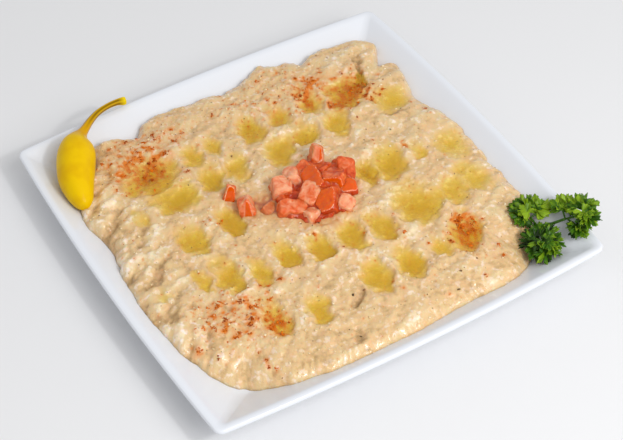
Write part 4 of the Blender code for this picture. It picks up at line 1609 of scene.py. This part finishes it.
def leaf_fan(fan, seed):
    """One leaflet: a fan of lobes, each folded along its middle, with teeth round a curled rim."""
    chance = np.random.default_rng(seed)
    base, tip = np.array(fan[0:3], float), np.array(fan[3:6], float)
    lobes, shade = fan[6] - 2, fan[7]
    length = 1.08 * np.linalg.norm(tip - base)
    ahead = (tip - base) / np.linalg.norm(tip - base)
    across = np.cross([0, 0, 1.0], ahead)
    across /= np.linalg.norm(across)
    over = np.cross(ahead, across)
    roll = chance.normal(0, 0.4)
    across, over = across * math.cos(roll) + over * math.sin(roll), over * math.cos(roll) - across * math.sin(roll)
    spread = math.radians(chance.uniform(80, 105))
    count = lobes * LOBE_TEETH * TOOTH_STEPS + 1
    place = np.linspace(0, lobes, count)
    angle = (place / lobes * 2 - 1) * spread
    lobe = np.minimum(place.astype(int), lobes - 1)
    fold = abs(2 * (place - lobe) - 1)
    tooth = 1 - abs(2 * np.modf(place * LOBE_TEETH)[0] - 1)
    own = chance.uniform(0.82, 1.05, lobes)[lobe]
    reach = length * own * (0.78 + 0.22 * np.cos(angle)) * (1 - 0.5 * fold**3) * (0.8 + 0.2 * tooth)
    wave = chance.uniform(0, 6, 3)
    ruffle = 0.09 * np.sin(angle * 3.1 + wave[0]) + 0.07 * np.sin(angle * 8 + wave[1])
    curl = chance.uniform(-0.3, 0.15)
    tone = shade + 0.16 * chance.normal(0, 1, lobes)[lobe]
    points, faces, shades = [], [], []
    for ring in range(FAN_RINGS + 1):
        share = ring / FAN_RINGS
        rim = 0.10 * share**3 * np.sin(place * math.pi * LOBE_TEETH + wave[2])
        lift = length * (ruffle * share**1.5 + curl * share**2 + 0.14 * share * (fold - 0.4) + rim)
        flat = share**0.9 * reach
        sideways, forward = flat * np.sin(angle), flat * np.cos(angle)
        ring_points = base + np.outer(forward, ahead) + np.outer(sideways, across) + np.outer(lift, over)
        points.append(np.minimum(ring_points, np.array(CAD_BOX[1]) / MM - 0.2))
        # darker towards each fan's base, painted shade where the leaves crowd; paler towards the tips, painted light;
        # paler along each lobe's middle
        shades.append(tone + 0.2 * (0.5 - fold) * share + 0.1 * (share - 0.5))
    for ring in range(FAN_RINGS):
        for k in range(count - 1):
            first = ring * count + k
            faces.append((first, first + 1, first + count + 1, first + count))
    return np.concatenate(points), np.array(faces), np.concatenate(shades)


class MEZE_OT_parsley(Operator):
    """Make the sprig of parsley: its leaves, and its stems"""

    bl_idname = "meze.parsley"
    bl_label = "Parsley"

    def execute(self, context):
        material = parsley_leaf(context.scene.meze_parsley)
        points, faces, shades, start = [], [], [], 0
        leaves = [leaflet for fan in LEAF_FANS for leaflet in leaflets(fan)]
        for seed, fan in enumerate(leaves):
            corners, sides, tones = leaf_fan(fan, seed + 50)
            points.append(corners)
            faces.append(sides + start)
            shades.append(tones)
            start += len(corners)
        data = bpy.data.meshes.new("parsley_leaves")
        data.from_pydata((np.concatenate(points) * MM).tolist(), [], np.concatenate(faces).tolist())
        leaves = bpy.data.objects.new("parsley_leaves", data)
        context.scene.collection.objects.link(leaves)
        write_attribute(leaves, "shade", np.concatenate(shades))
        apply_modifier(leaves, "WELD", merge_threshold=0.01 * MM)
        apply_modifier(leaves, "SOLIDIFY", thickness=LEAF_THICKNESS * MM, offset=0)
        finish_piece(leaves, material, "herb", "parsley_sprig")
        for number, (start, end, radius) in enumerate(LEAF_STEMS):
            sag = [np.array(start) * (1 - t) + np.array(end) * t for t in np.linspace(0, 1, 7)]
            line = [(*point, radius) for point in sag]
            stem = grow(f"parsley_stem_{number + 1}", tube(line, 8, lambda share, angle: 1.0))
            write_attribute(stem, "shade", np.full(len(stem.data.vertices), 0.3))
            finish_piece(stem, material, "herb")
        return {"FINISHED"}


# ---------------------------------------------------------------- stage


class StageSettings(PropertyGroup):
    floor: colour("#E6E6E7", "Floor", "Colour of the floor")
    key_power: FloatProperty(name="Key light", description="Power of the soft key light", default=9.2, unit="POWER")
    glint_power: FloatProperty(name="Glint", description="Power of the small lamp", default=3.8, unit="POWER")
    sky: FloatProperty(name="Surroundings", description="Strength of the light from all round", default=0.62)


# Camera, from the middle of the plate's foot: distances in millimetres, angles in degrees.
CAMERA_AZIMUTH = -29.331
CAMERA_ELEVATION = 45.740
CAMERA_ROLL = -2.099
CAMERA_DISTANCE = 1068.07
CAMERA_ASIDE = (4.743, 2.650)
CAMERA_LENS = 106.062
KEY_AT = (0.22, -1.00, 1.02)  # metres
KEY_SIZE = 0.85
GLINT_SIZE = 0.1  # a small lamp in front of the key light, for small highlights


class MEZE_OT_stage(Operator):
    """Make the floor, the soft studio light and the camera"""

    bl_idname = "meze.stage"
    bl_label = "Stage"

    def execute(self, context):
        settings = context.scene.meze_stage
        bpy.ops.object.select_all(action="DESELECT")
        bpy.ops.mesh.primitive_plane_add(size=6)
        floor = named(bpy.context.object, "floor")
        paper, _, shader = new_material("matt studio paper", Roughness=0.9)
        shader.inputs["Base Color"].default_value = (*settings.floor, 1)
        floor.data.materials.append(paper)

        world = bpy.data.worlds.new("studio")
        world.use_nodes = True
        world.node_tree.nodes["Background"].inputs["Color"].default_value = (0.985, 0.99, 1.0, 1)
        world.node_tree.nodes["Background"].inputs["Strength"].default_value = settings.sky
        context.scene.world = world

        bpy.ops.object.light_add(type="AREA", location=KEY_AT)
        key = bpy.context.object
        key.name = "key_light"
        key.data.size = KEY_SIZE
        key.data.energy = settings.key_power
        key.rotation_euler = (-Vector(KEY_AT)).to_track_quat("-Z", "Y").to_euler()
        bpy.ops.object.light_add(type="AREA", location=Vector(KEY_AT) * 0.95, rotation=key.rotation_euler)
        glint = bpy.context.object
        glint.name = "glint_light"
        glint.data.size = GLINT_SIZE
        glint.data.energy = settings.glint_power

        back = Matrix.Rotation(math.radians(CAMERA_AZIMUTH), 3, "Z") @ Vector(
            (0, -math.cos(math.radians(CAMERA_ELEVATION)), math.sin(math.radians(CAMERA_ELEVATION)))
        )
        right = Vector((0, 0, 1)).cross(back).normalized()
        up = back.cross(right)
        turn = Matrix((right, up, back)).transposed() @ Matrix.Rotation(-math.radians(CAMERA_ROLL), 3, "Z").inverted()
        where = (turn @ Vector((*CAMERA_ASIDE, CAMERA_DISTANCE))) * MM
        bpy.ops.object.camera_add(location=where, rotation=turn.to_euler())
        camera = bpy.context.object
        camera.data.lens = CAMERA_LENS
        camera.data.clip_start = 0.01
        context.scene.camera = camera
        context.scene.view_settings.view_transform = "Standard"
        return {"FINISHED"}


class MEZE_PT_panel(Panel):
    """Lists the pieces of the plate of baba ganoush"""

    bl_label = "Plate of baba ganoush"
    bl_idname = "MEZE_PT_panel"
    bl_space_type = "VIEW_3D"
    bl_region_type = "UI"
    bl_category = "Meze"

    def draw(self, context):
        for maker in OPERATORS:
            self.layout.operator(maker.bl_idname)


SETTINGS = {
    "meze_plate": PlateSettings,
    "meze_dip": DipSettings,
    "meze_oil": OilSettings,
    "meze_spice": SpiceSettings,
    "meze_tomato": TomatoSettings,
    "meze_pepper": PepperSettings,
    "meze_parsley": ParsleySettings,
    "meze_stage": StageSettings,
}
OPERATORS = (
    MEZE_OT_plate,
    MEZE_OT_dip,
    MEZE_OT_oil,
    MEZE_OT_sprinkles,
    MEZE_OT_tomato,
    MEZE_OT_pepper,
    MEZE_OT_parsley,
    MEZE_OT_stage,
)


def register():
    for group in SETTINGS.values():
        bpy.utils.register_class(group)
    for name, group in SETTINGS.items():
        setattr(bpy.types.Scene, name, PointerProperty(type=group))
    for maker in (*OPERATORS, MEZE_PT_panel):
        bpy.utils.register_class(maker)


def unregister():
    for maker in (MEZE_PT_panel, *reversed(OPERATORS)):
        bpy.utils.unregister_class(maker)
    for name, group in reversed(SETTINGS.items()):
        delattr(bpy.types.Scene, name)
        bpy.utils.unregister_class(group)


def main():
    """Register the add-on and run its operators in order."""
    register()
    bpy.ops.meze.plate()
    bpy.ops.meze.dip()
    bpy.ops.meze.oil()
    bpy.ops.meze.sprinkles()
    bpy.ops.meze.tomato()
    bpy.ops.meze.pepper()
    bpy.ops.meze.parsley()
    bpy.ops.meze.stage()


if __name__ == "__main__":
    main()
